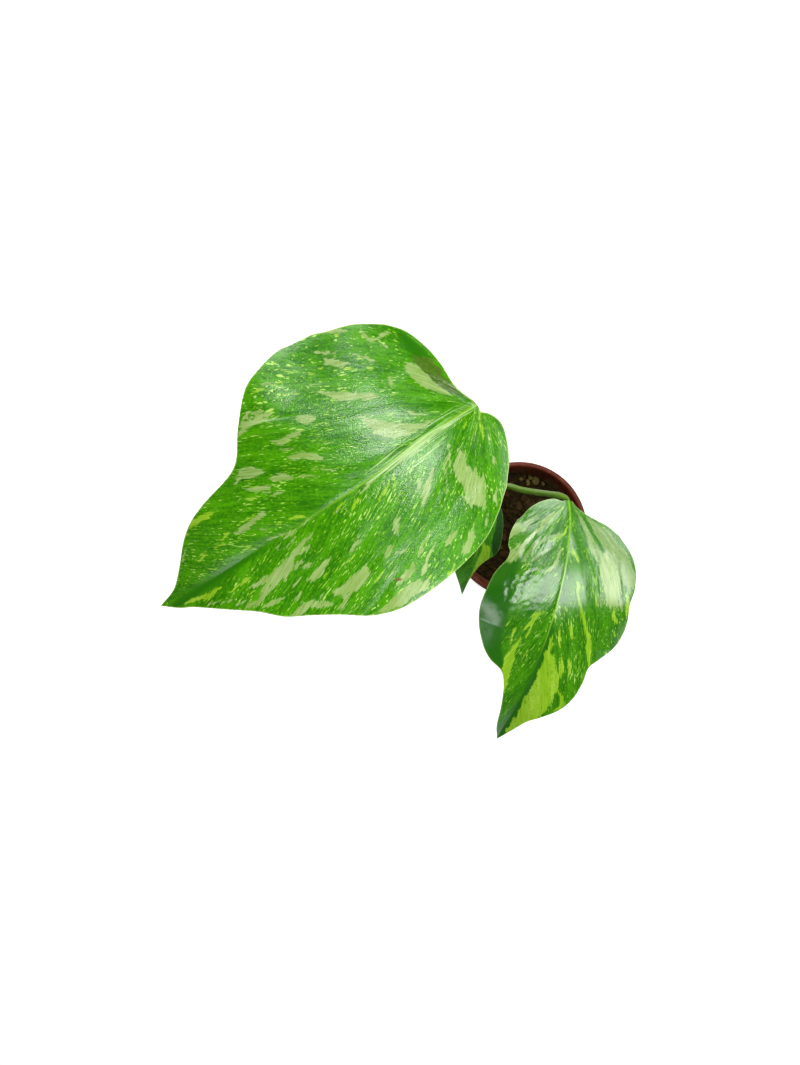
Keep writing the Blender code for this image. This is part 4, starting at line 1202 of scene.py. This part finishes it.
def add_tube(name, path, radius, rows, around, last_up=(0, 0, 1)):
    """A tube along a path in mm; radius(share, turn) gives mm, with turn 0 on the upper side."""
    bpy.ops.object.select_all(action="DESELECT")
    bpy.ops.mesh.primitive_grid_add(x_subdivisions=around, y_subdivisions=rows, size=2, calc_uvs=True)
    obj = bpy.context.object
    obj.name = name
    flat = places(obj)
    share, turn = (flat[:, 1] + 1) / 2, flat[:, 0] * math.pi
    line = at(np.asarray(path, float), np.linspace(0, 1, rows + 1))
    side, up = frames_along(line, last_up)
    row = np.rint(share * rows).astype(int)
    size = radius(share, turn)[:, None]
    points = line[row] + (side[row] * np.sin(turn)[:, None] + up[row] * np.cos(turn)[:, None]) * size
    move_to(obj, points * MM)
    give_numbers(obj, "share", share)
    give_numbers(obj, "turn", turn)
    edit_mode(obj)
    merge_points(0.01)
    select_open_edges()
    cap_and_turn()
    edit_mode(obj, on=False)
    return obj


def add_petiole(name, petiole, leaf, wing):
    """A petiole from the stem to the midrib's underside; wing is its wings' height in radii."""
    base, forward, right, up = (v[0] for v in LeafSurface(leaf).frame(np.zeros(1)))
    joint = [base + forward * f + right * r + up * u for f, r, u in petiole["joint"]]
    path = smooth_curve([*petiole["path"], *joint], steps=10)

    def radius(share, turn):
        """Radius in mm at this share of the length and this angle from the upper side."""
        size = np.interp(share, PETIOLE_STATIONS, petiole["radii"])
        size = size * (1 + JOINT_SWELL * np.exp(-(((share - JOINT_PLACE) / JOINT_LENGTH) ** 2)))
        wings = np.clip((WING_END - share) / 0.12, 0, 1) * np.clip(share / 0.04, 0, 1)
        channel = CHANNEL_SHARE * np.exp(-((turn / CHANNEL_SPREAD) ** 2)) * np.clip((0.9 - share) / 0.1, 0, 1)
        crest = wing * wings * np.exp(-(((np.abs(turn) - WING_PLACE) / WING_WIDTH) ** 2))
        grain = FINE_RIB_SHARE * np.sin(FINE_RIBS * turn) * np.clip((JOINT_PLACE - share) / 0.05, 0, 1)
        crease = CREASE_SHARE * np.sin(share * CREASES) * np.exp(-(((share - JOINT_PLACE) / 0.02) ** 2))
        blend = 1 - petiole["taper"] * np.clip((share - 0.92) / 0.08, 0, 1) ** 2
        return size * blend * (1 - channel + crest + grain + crease)

    return add_tube(name, path, radius, rows=int(ROWS_PER_POINT * len(path)) + END_ROWS, around=40)


petiole_large = add_petiole("petiole_large_fine", LARGE_PETIOLE, LARGE_LEAF, 0.22)
petiole_medium = add_petiole("petiole_medium_fine", MEDIUM_PETIOLE, MEDIUM_LEAF, 0.25)
petiole_small = add_petiole("petiole_small_fine", SMALL_PETIOLE, SMALL_LEAF, 0.15)
print("Petioles:", petiole_large.name, petiole_medium.name, petiole_small.name)

# %% [markdown]
# The stem is a stump of a few joints. Each fallen leaf has left a scar, a ring
# that stands out a little, and between the first two the stem is drawn in.

# %% Stem
STEM_FOOT = (-13, 14.5, 38)
STEM_TOP = 61
STEM_RADIUS = 4.2
STEM_RINGS = (44, 51.5, 57)             # heights of the leaf scars
RING_HEIGHT, RING_WIDTH = 0.35, 0.45
WAIST, WAIST_PLACE = 0.15, 48


def stem_radius(share, turn):
    """Radius in mm at this share of the stem's height and this angle round it."""
    height = STEM_FOOT[2] + share * (STEM_TOP - STEM_FOOT[2])
    size = np.full_like(share, STEM_RADIUS) + 0.08 * np.sin(3 * turn + 0.3 * height)
    for ring in STEM_RINGS:
        tilt = ring + 0.5 * np.cos(turn + ring)
        size = size + RING_HEIGHT * np.exp(-(((height - tilt) / RING_WIDTH) ** 2))
    size = size - WAIST * np.exp(-(((height - WAIST_PLACE) / 3) ** 2))
    cap = np.clip((STEM_TOP - height) / 1.6, 0, 1)
    return size * np.sqrt(1 - (1 - cap) ** 2 + 0.02)


stem = add_tube("stem_fine", smooth_curve([STEM_FOOT, (-13, 14.5, 50), (-13, 14.5, STEM_TOP)], 20),
                stem_radius, rows=120, around=56, last_up=(0, -1, 0))
print("Stem:", stem.name, "with", len(STEM_RINGS), "leaf scars")

# %% [markdown]
# Everything near the soil carries some of it. This group gives a mask of dust
# and small crumbs that thins out with height, for the stalks, the stem and the
# pot alike.

# %% Soil dust group
soil_dust, given, made = new_group(
    "soil_dust", {"Full Below": 0.05, "Gone Above": 0.07, "Grain": 600.0}, ("Mask",))
tree = soil_dust
place = object_place(tree)
height = add_node(tree, "ShaderNodeSeparateXYZ", {"Vector": place}).outputs["Z"]
amount = add_node(tree, "ShaderNodeMapRange", {"Value": height, "From Min": given["Gone Above"],
                                               "From Max": given["Full Below"]}).outputs[0]
grain = noise_on(tree, place, given["Grain"], 3.0)
level = times_plus(tree, noise_on(tree, place, 90.0, 2.0), 0.6, grain)
level = times_plus(tree, amount, 0.45, level)
tree.links.new(ramp(tree, level, 0.98, 1.15), made.inputs["Mask"])
print("Group:", soil_dust.name)

# %% [markdown]
# Stalks are olive green, with a painted highlight that makes their upper edge paler, and fine lines along
# them.
# Towards the foot they are darker, and where the old sheath has dried there is a
# pinkish tan. The stem is a duller green-brown with corky scars.

# %% Stalk and stem finishes


def stalk_finish(name, tan_from, tan_to):
    """The finish of a petiole whose sheath has dried between two shares of its length."""
    finish, tree, shader = new_material(name, Specular_IOR_Level=0.08)
    uv = add_node(tree, "ShaderNodeUVMap", uv_map="UVMap").outputs["UV"]
    lines = noise_on(tree, stretched(tree, uv, (22, 5, 1)), 1.6, 3.0)
    share = attribute(tree, "share")
    green = mix(tree, ramp(tree, lines, 0.35, 0.65), (50, 80, 6), (76, 106, 14))
    # Painted highlight: the upper side of the stalk is mixed towards a paler green.
    upper = ramp(tree, sum_of(tree, "ABSOLUTE", attribute(tree, "turn")), 1.5, 0.5)
    green = mix(tree, times(tree, upper, 0.3), green, (104, 134, 44))
    wobble = times_plus(tree, lines, 0.08, share)
    dried = times(tree, ramp(tree, wobble, tan_from + 0.02, tan_from + 0.06),
                  ramp(tree, wobble, tan_to + 0.07, tan_to + 0.03))
    tan = mix(tree, lines, (120, 84, 56), (172, 134, 98))
    skin = mix(tree, dried, green, tan)
    dust = use_group(tree, soil_dust, Full_Below=0.050, Gone_Above=0.066)["Mask"]
    soiled = mix(tree, dust, skin, (58, 42, 28))
    dress(tree, shader, soiled, times_plus(tree, dried, 0.3, 0.38), lines, 0.6, 0.00012)
    return finish


petiole_large.data.materials.append(stalk_finish("large_stalk", 0.02, 0.08))
petiole_medium.data.materials.append(stalk_finish("medium_stalk", 0.22, 0.34))
petiole_small.data.materials.append(stalk_finish("small_stalk", 0.02, 0.10))

stem_skin, tree, shader = new_material("stem_skin", Specular_IOR_Level=0.35)
rings = noise_on(tree, stretched(tree, object_place(tree), (1, 1, 4)), 320.0, 4.0)
bark = mix(tree, ramp(tree, rings, 0.35, 0.62), (74, 66, 38), (118, 124, 62))
dust = use_group(tree, soil_dust, Full_Below=0.050, Gone_Above=0.062)["Mask"]
soiled = mix(tree, dust, bark, (54, 40, 27))
dress(tree, shader, soiled, times_plus(tree, rings, 0.3, 0.5), rings, 0.8, 0.0003)
stem.data.materials.append(stem_skin)

for piece, slot, node in ((petiole_large, "petiole_skin", "petiole_large"),
                          (petiole_medium, "petiole_skin", "petiole_medium"),
                          (petiole_small, "petiole_skin", "petiole_small"),
                          (stem, "stem_skin", "stem")):
    finish_piece(piece, node)

# %% [markdown]
# The pot is a thin turned shell. A ring of points is extruded along its outline,
# scaled and raised at each step: up the inner wall, over the rounded lip, down
# the band and the outer wall, and across the foot. Two faces close it.

# %% Pot
POT_HEIGHT = 62
RIM_RADIUS = 35
BAND_HEIGHT = 9
BAND_STEP = 1.3
WALL = 1.5                              # thickness
BASE_RADIUS = 24.5
FLOOR_HEIGHT = 3.2
FOOT_WIDTH = 4.5
PAD_RADIUS = 8
GROOVE_DEPTH = 1.4
DRAIN_HOLES = 6
DRAIN_RADIUS = 2.5
POT_SIDES = 144


def inner_radius(height):
    """Radius of the pot's inner wall at this height, in mm."""
    top, bottom = RIM_RADIUS - BAND_STEP - WALL, BASE_RADIUS - WALL
    return bottom + (top - bottom) * (height - FLOOR_HEIGHT) / (POT_HEIGHT - FLOOR_HEIGHT)


def arc(centre, radius, first, last, count):
    """Points of an arc in the outline's plane, angles in degrees."""
    angles = np.radians(np.linspace(first, last, count))
    return [(centre[0] + radius * math.cos(a), centre[1] + radius * math.sin(a)) for a in angles]


def pot_outline():
    """(radius, height) in mm from the middle of the inner floor to the middle of the underside."""
    lip = (RIM_RADIUS - inner_radius(POT_HEIGHT)) / 2
    band_foot = POT_HEIGHT - BAND_HEIGHT
    below_band = inner_radius(band_foot) + WALL
    foot_inside = BASE_RADIUS - FOOT_WIDTH
    wall = [(inner_radius(h), h) for h in np.linspace(FLOOR_HEIGHT + 2, POT_HEIGHT - 2 * lip, 14)]
    outer = [(inner_radius(h) + WALL, h) for h in np.linspace(band_foot - 2, 4, 12)]
    return [(1, FLOOR_HEIGHT), (PAD_RADIUS, FLOOR_HEIGHT), (foot_inside, FLOOR_HEIGHT),
            *arc((inner_radius(FLOOR_HEIGHT) - 1.5, FLOOR_HEIGHT + 1.5), 1.5, 270, 360, 6), *wall,
            *arc((RIM_RADIUS - lip, POT_HEIGHT - lip), lip, 180, 0, 15),
            (RIM_RADIUS - 0.25, POT_HEIGHT - 4.5), *arc((RIM_RADIUS - 1, band_foot + 0.5), 0.5, 0, -90, 5),
            (below_band + 0.3, band_foot - 0.1), (below_band, band_foot - 0.4), *outer,
            *arc((BASE_RADIUS - 0.6, 1), 1, 0, -90, 6),
            *arc((foot_inside + 0.8, 0.5), 0.5, 270, 180, 5), (foot_inside, GROOVE_DEPTH - 0.4),
            (foot_inside - 0.4, GROOVE_DEPTH), (PAD_RADIUS + 1.2, GROOVE_DEPTH),
            (PAD_RADIUS + 0.8, GROOVE_DEPTH - 0.4), (PAD_RADIUS, 0), (1, 0)]


bpy.ops.object.select_all(action="DESELECT")
outline = pot_outline()
bpy.ops.mesh.primitive_circle_add(vertices=POT_SIDES, radius=outline[0][0] * MM,
                                  location=(0, 0, outline[0][1] * MM), fill_type="NOTHING")
pot = bpy.context.object
pot.name = "pot_fine"
bpy.ops.object.transform_apply(location=True)
edit_mode(pot)
bpy.ops.mesh.select_all(action="SELECT")
extrude_rings(outline)
select_open_edges()
cap_and_turn()
edit_mode(pot, on=False)
print(f"Pot: {len(outline)} rings of {POT_SIDES} points")

# %% [markdown]
# Real drain holes are moulded, but in a model it is simplest to drill them: six
# cylinders stand in a ring through the floor, joined into one cutter, and one
# Boolean modifier takes them away.

# %% Drain holes
ring_radius = (BASE_RADIUS - FOOT_WIDTH + PAD_RADIUS + 0.8) / 2
drills = []
for hole in range(DRAIN_HOLES):
    angle = 2 * math.pi * (hole + 0.5) / DRAIN_HOLES
    spot = Vector((ring_radius * math.cos(angle), ring_radius * math.sin(angle), 2)) * MM
    bpy.ops.mesh.primitive_cylinder_add(vertices=40, radius=DRAIN_RADIUS * MM, depth=8 * MM, location=spot)
    drills.append(bpy.context.object)
cutter = join_all(drills)
cut = pot.modifiers.new("Drain holes", "BOOLEAN")
cut.object = cutter
apply_modifiers(pot)
bpy.data.objects.remove(cutter)
print("Drain holes:", DRAIN_HOLES)

# %% [markdown]
# Nursery pots are moulded in thin reddish-brown plastic with a satin surface.
# Use leaves fine scuffs that lighten the lip, and watering leaves dust and dried
# splashes inside the mouth and near the foot.

# %% Pot finish
pot_plastic, tree, shader = new_material("pot_plastic", Specular_IOR_Level=0.22)
place = object_place(tree)
cloud = noise_on(tree, place, 45.0, 3.0)
scuff = noise_on(tree, stretched(tree, place, (260, 260, 1600)), 1.0, 4.0)
height = add_node(tree, "ShaderNodeSeparateXYZ", {"Vector": place}).outputs["Z"]
lip = ramp(tree, height, (POT_HEIGHT - 3.5) * MM, (POT_HEIGHT - 0.5) * MM)
plastic = mix(tree, cloud, (68, 21, 8), (90, 33, 16))
worn = times(tree, ramp(tree, scuff, 0.52, 0.72), times_plus(tree, lip, 0.5, 0.22))
plastic = mix(tree, worn, plastic, (108, 56, 42))
dust = use_group(tree, soil_dust, Full_Below=0.046, Gone_Above=0.064, Grain=420.0)["Mask"]
side = add_node(tree, "ShaderNodeVectorMath", {0: place, 1: (1, 1, 0)}, operation="MULTIPLY").outputs[0]
side = add_node(tree, "ShaderNodeVectorMath", {0: side}, operation="LENGTH").outputs["Value"]
taper = (inner_radius(POT_HEIGHT) - inner_radius(0)) / POT_HEIGHT
side = sum_of(tree, "SUBTRACT", side, times(tree, height, taper))
inside = ramp(tree, side, (inner_radius(0) + 0.7 * WALL) * MM, (inner_radius(0) + 0.3 * WALL) * MM)
outside_dust = use_group(tree, soil_dust, Full_Below=-0.004, Gone_Above=0.030, Grain=500.0)["Mask"]
dust = sum_of(tree, "MAXIMUM", times(tree, dust, inside), times(tree, outside_dust, 0.35))
dusty = mix(tree, dust, plastic, (86, 62, 42))
rough = times_plus(tree, cloud, 0.15, times_plus(tree, dust, 0.3, 0.36))
dress(tree, shader, dusty, rough, scuff, 0.5, 0.0001)
pot.data.materials.append(pot_plastic)
finish_piece(pot, "pot", crease=40)

# %% [markdown]
# The soil starts as a square grid whose corners are drawn in to a disc. Its top
# gets lumps of three sizes, and the rim of the disc is extruded down to the
# pot's floor. The lumps are the same as in the frame, with finer ones added.

# %% Soil
SOIL_TOP = 50
SOIL_LUMP = 1.6                         # height of the lumps, and below the size of each kind
COARSE_LUMP = 6.2
FINE_LUMP = 2.4
CRUMB_LUMP = 0.9
CRUMB_HEIGHT = 0.45
CALM_EDGE = 0.15                        # share of the lumps that is left at the pot's wall
GAP = 0.3                               # between the soil and the pot
SOIL_BEND = 6                           # depth at which the soil has drawn back from the pot by the gap
SOIL_SIDE = 176                         # points along the square grid
SOIL_EDGE = inner_radius(SOIL_TOP) - 0.1


def soil_height(x, y):
    """Height of the soil's surface at a place, in mm."""
    level = max(1 - (math.hypot(x, y) / SOIL_EDGE) ** 4, CALM_EDGE)
    spot = Vector((x, y, SOIL_TOP))
    lump = noise.noise(spot / COARSE_LUMP) + 0.5 * noise.noise(spot / FINE_LUMP)
    crumb = abs(noise.noise(spot / CRUMB_LUMP)) + 0.5 * noise.noise(spot / (CRUMB_LUMP / 2.2))
    return SOIL_TOP + SOIL_LUMP * lump * level + CRUMB_HEIGHT * crumb


bpy.ops.object.select_all(action="DESELECT")
bpy.ops.mesh.primitive_grid_add(x_subdivisions=SOIL_SIDE, y_subdivisions=SOIL_SIDE, size=2)
soil = bpy.context.object
soil.name = "soil_fine"
square = places(soil)
disc = np.zeros_like(square)
disc[:, 0] = square[:, 0] * np.sqrt(1 - square[:, 1] ** 2 / 2) * SOIL_EDGE
disc[:, 1] = square[:, 1] * np.sqrt(1 - square[:, 0] ** 2 / 2) * SOIL_EDGE
disc[:, 2] = [soil_height(x, y) for x, y in disc[:, :2]]
move_to(soil, disc * MM)
edit_mode(soil)
select_open_edges()
soil_rings = [(SOIL_EDGE, SOIL_TOP), (inner_radius(SOIL_TOP - SOIL_BEND) - GAP, SOIL_TOP - SOIL_BEND),
              (inner_radius(6) - GAP, 6),
              (inner_radius(FLOOR_HEIGHT + GAP) - 2, FLOOR_HEIGHT + GAP)]
extrude_rings(soil_rings)
bpy.ops.transform.resize(value=(1, 1, 0), center_override=(0, 0, soil_rings[-1][1] * MM))
cap_and_turn()
edit_mode(soil, on=False)
print("Soil surface:", len(square), "points")

# %% [markdown]
# Potting soil is a mix: crumbs of peat, flakes of bark, and pale grit that shows
# against the dark. One lump is modelled for each, a small cube that is
# subdivided and drawn in, and its copies are turned, stretched and dented at
# random, from a fixed seed. Each copy has its own mesh, and all of one kind are
# joined.

# %% Crumbs, bark and grit
CRUMBS, CHIPS = 420, 60
TILT = 0.5                              # radians, the most that a lump leans
ROUNDNESS = 0.75                        # 0 is a cube and 1 a ball
STEM_CLEARANCE = 1.2
random = np.random.default_rng(7)


def model_lump(name, cuts):
    """A rounded lump about 2 mm across, at the origin."""
    bpy.ops.object.select_all(action="DESELECT")
    bpy.ops.mesh.primitive_cube_add(size=2 * MM)
    lump = bpy.context.object
    lump.name = name
    edit_mode(lump)
    bpy.ops.mesh.select_all(action="SELECT")
    bpy.ops.mesh.subdivide(number_cuts=cuts)
    bpy.ops.transform.tosphere(value=ROUNDNESS)
    edit_mode(lump, on=False)
    return lump


def scatter(name, pattern, spots, sizes, flatness, dent):
    """Copies of a lump at these (x, y, rise) in mm, joined into one piece."""
    copies = []
    rest = places(pattern)
    for (x, y, rise), size in zip(spots, sizes):
        copy = pattern.copy()
        copy.data = pattern.data.copy()
        bpy.context.collection.objects.link(copy)
        stretch = size / 2 * np.array([1, random.uniform(0.55, 0.95), random.uniform(*flatness)])
        dents = 1 + dent * random.uniform(-1, 1, (len(rest), 1))
        move_to(copy, rest * stretch * dents)
        copy.rotation_euler = (random.uniform(-TILT, TILT), random.uniform(-TILT, TILT),
                               random.uniform(0, 6.28))
        copy.location = Vector((x, y, soil_height(x, y) + rise)) * MM
        copies.append(copy)
    joined = join_all(copies)
    joined.name = name
    bpy.data.objects.remove(pattern)
    return joined


def random_spots(count, reach, rise):
    """Places spread evenly over the soil, clear of the stem."""
    spots = []
    while len(spots) < count:
        radius, turn = reach * math.sqrt(random.random()), random.uniform(0, 2 * math.pi)
        x, y = radius * math.cos(turn), radius * math.sin(turn)
        if math.hypot(x - STEM_FOOT[0], y - STEM_FOOT[1]) > STEM_RADIUS + STEM_CLEARANCE:
            spots.append((x, y, random.uniform(*rise)))
    return spots


GRIT = [(10.6, 26, 0.5), (6.6, 25.2, 0.4), (8, 27.6, 0.2), (14.6, 24.6, 0.3), (12, -24, 0.3), (-20, -14, 0.3),
        (3, 27, 0.3), (-27, 4, 0.2), (8, 6, 0.2)]
GRIT_SIZES = (4.2, 3.1, 2.4, 2.4, 2.4, 2.8, 2.0, 2.2, 1.8)
crumbs = scatter("soil_crumbs", model_lump("crumb", 1), random_spots(CRUMBS, 30.3, (-0.1, 0.25)),
                 random.uniform(0.7, 1.9, CRUMBS), (0.55, 0.95), 0.22)
bark_chips = scatter("soil_bark", model_lump("chip", 1), random_spots(CHIPS, 29, (0.1, 0.4)),
                     random.uniform(2.4, 4.6, CHIPS), (0.16, 0.3), 0.14)
grit = scatter("soil_grit", model_lump("stone", 3), GRIT, GRIT_SIZES, (0.6, 0.8), 0.05)
print("Scattered:", crumbs.name, bark_chips.name, grit.name)

# %% [markdown]
# Soil is dark, with only a faint gleam, and its browns, like those of the peat
# crumbs and the bark, are darker still as painted shade from the leaves above.
# Bark is a warmer brown, and grit is a dusty cream.

# %% Soil finishes


def earth_finish(name, dark, light, scale, roughness):
    """A crumbly finish in two browns."""
    finish, tree, shader = new_material(name, Specular_IOR_Level=0.08)
    place = object_place(tree)
    coarse = noise_on(tree, place, scale, 5.0, Roughness=0.65)
    fine = add_node(tree, "ShaderNodeTexVoronoi", {"Vector": place, "Scale": scale * 5}).outputs["Distance"]
    share = ramp(tree, times_plus(tree, fine, 0.25, coarse), 0.42, 0.80)
    height = sum_of(tree, "ADD", coarse, times(tree, fine, 0.4))
    dress(tree, shader, mix(tree, share, dark, light), times_plus(tree, coarse, 0.3, roughness),
          height, 1.0, 0.0005)
    return finish


# Painted shade: the soil, crumb and bark browns are darker than the soil itself.
soil.data.materials.append(earth_finish("dark_soil_and_shade", (17, 12, 3), (42, 31, 11), 240.0, 0.8))
crumbs.data.materials.append(earth_finish("peat_crumbs", (20, 14, 4), (52, 39, 15), 420.0, 0.8))
bark_chips.data.materials.append(earth_finish("bark_flakes", (30, 20, 8), (62, 44, 20), 500.0, 0.7))
grit.data.materials.append(earth_finish("pale_grit", (64, 54, 24), (112, 98, 54), 700.0, 0.75))
finish_piece(soil, "soil", crease=180)
for piece in (crumbs, bark_chips, grit):
    finish_piece(piece, crease=60)
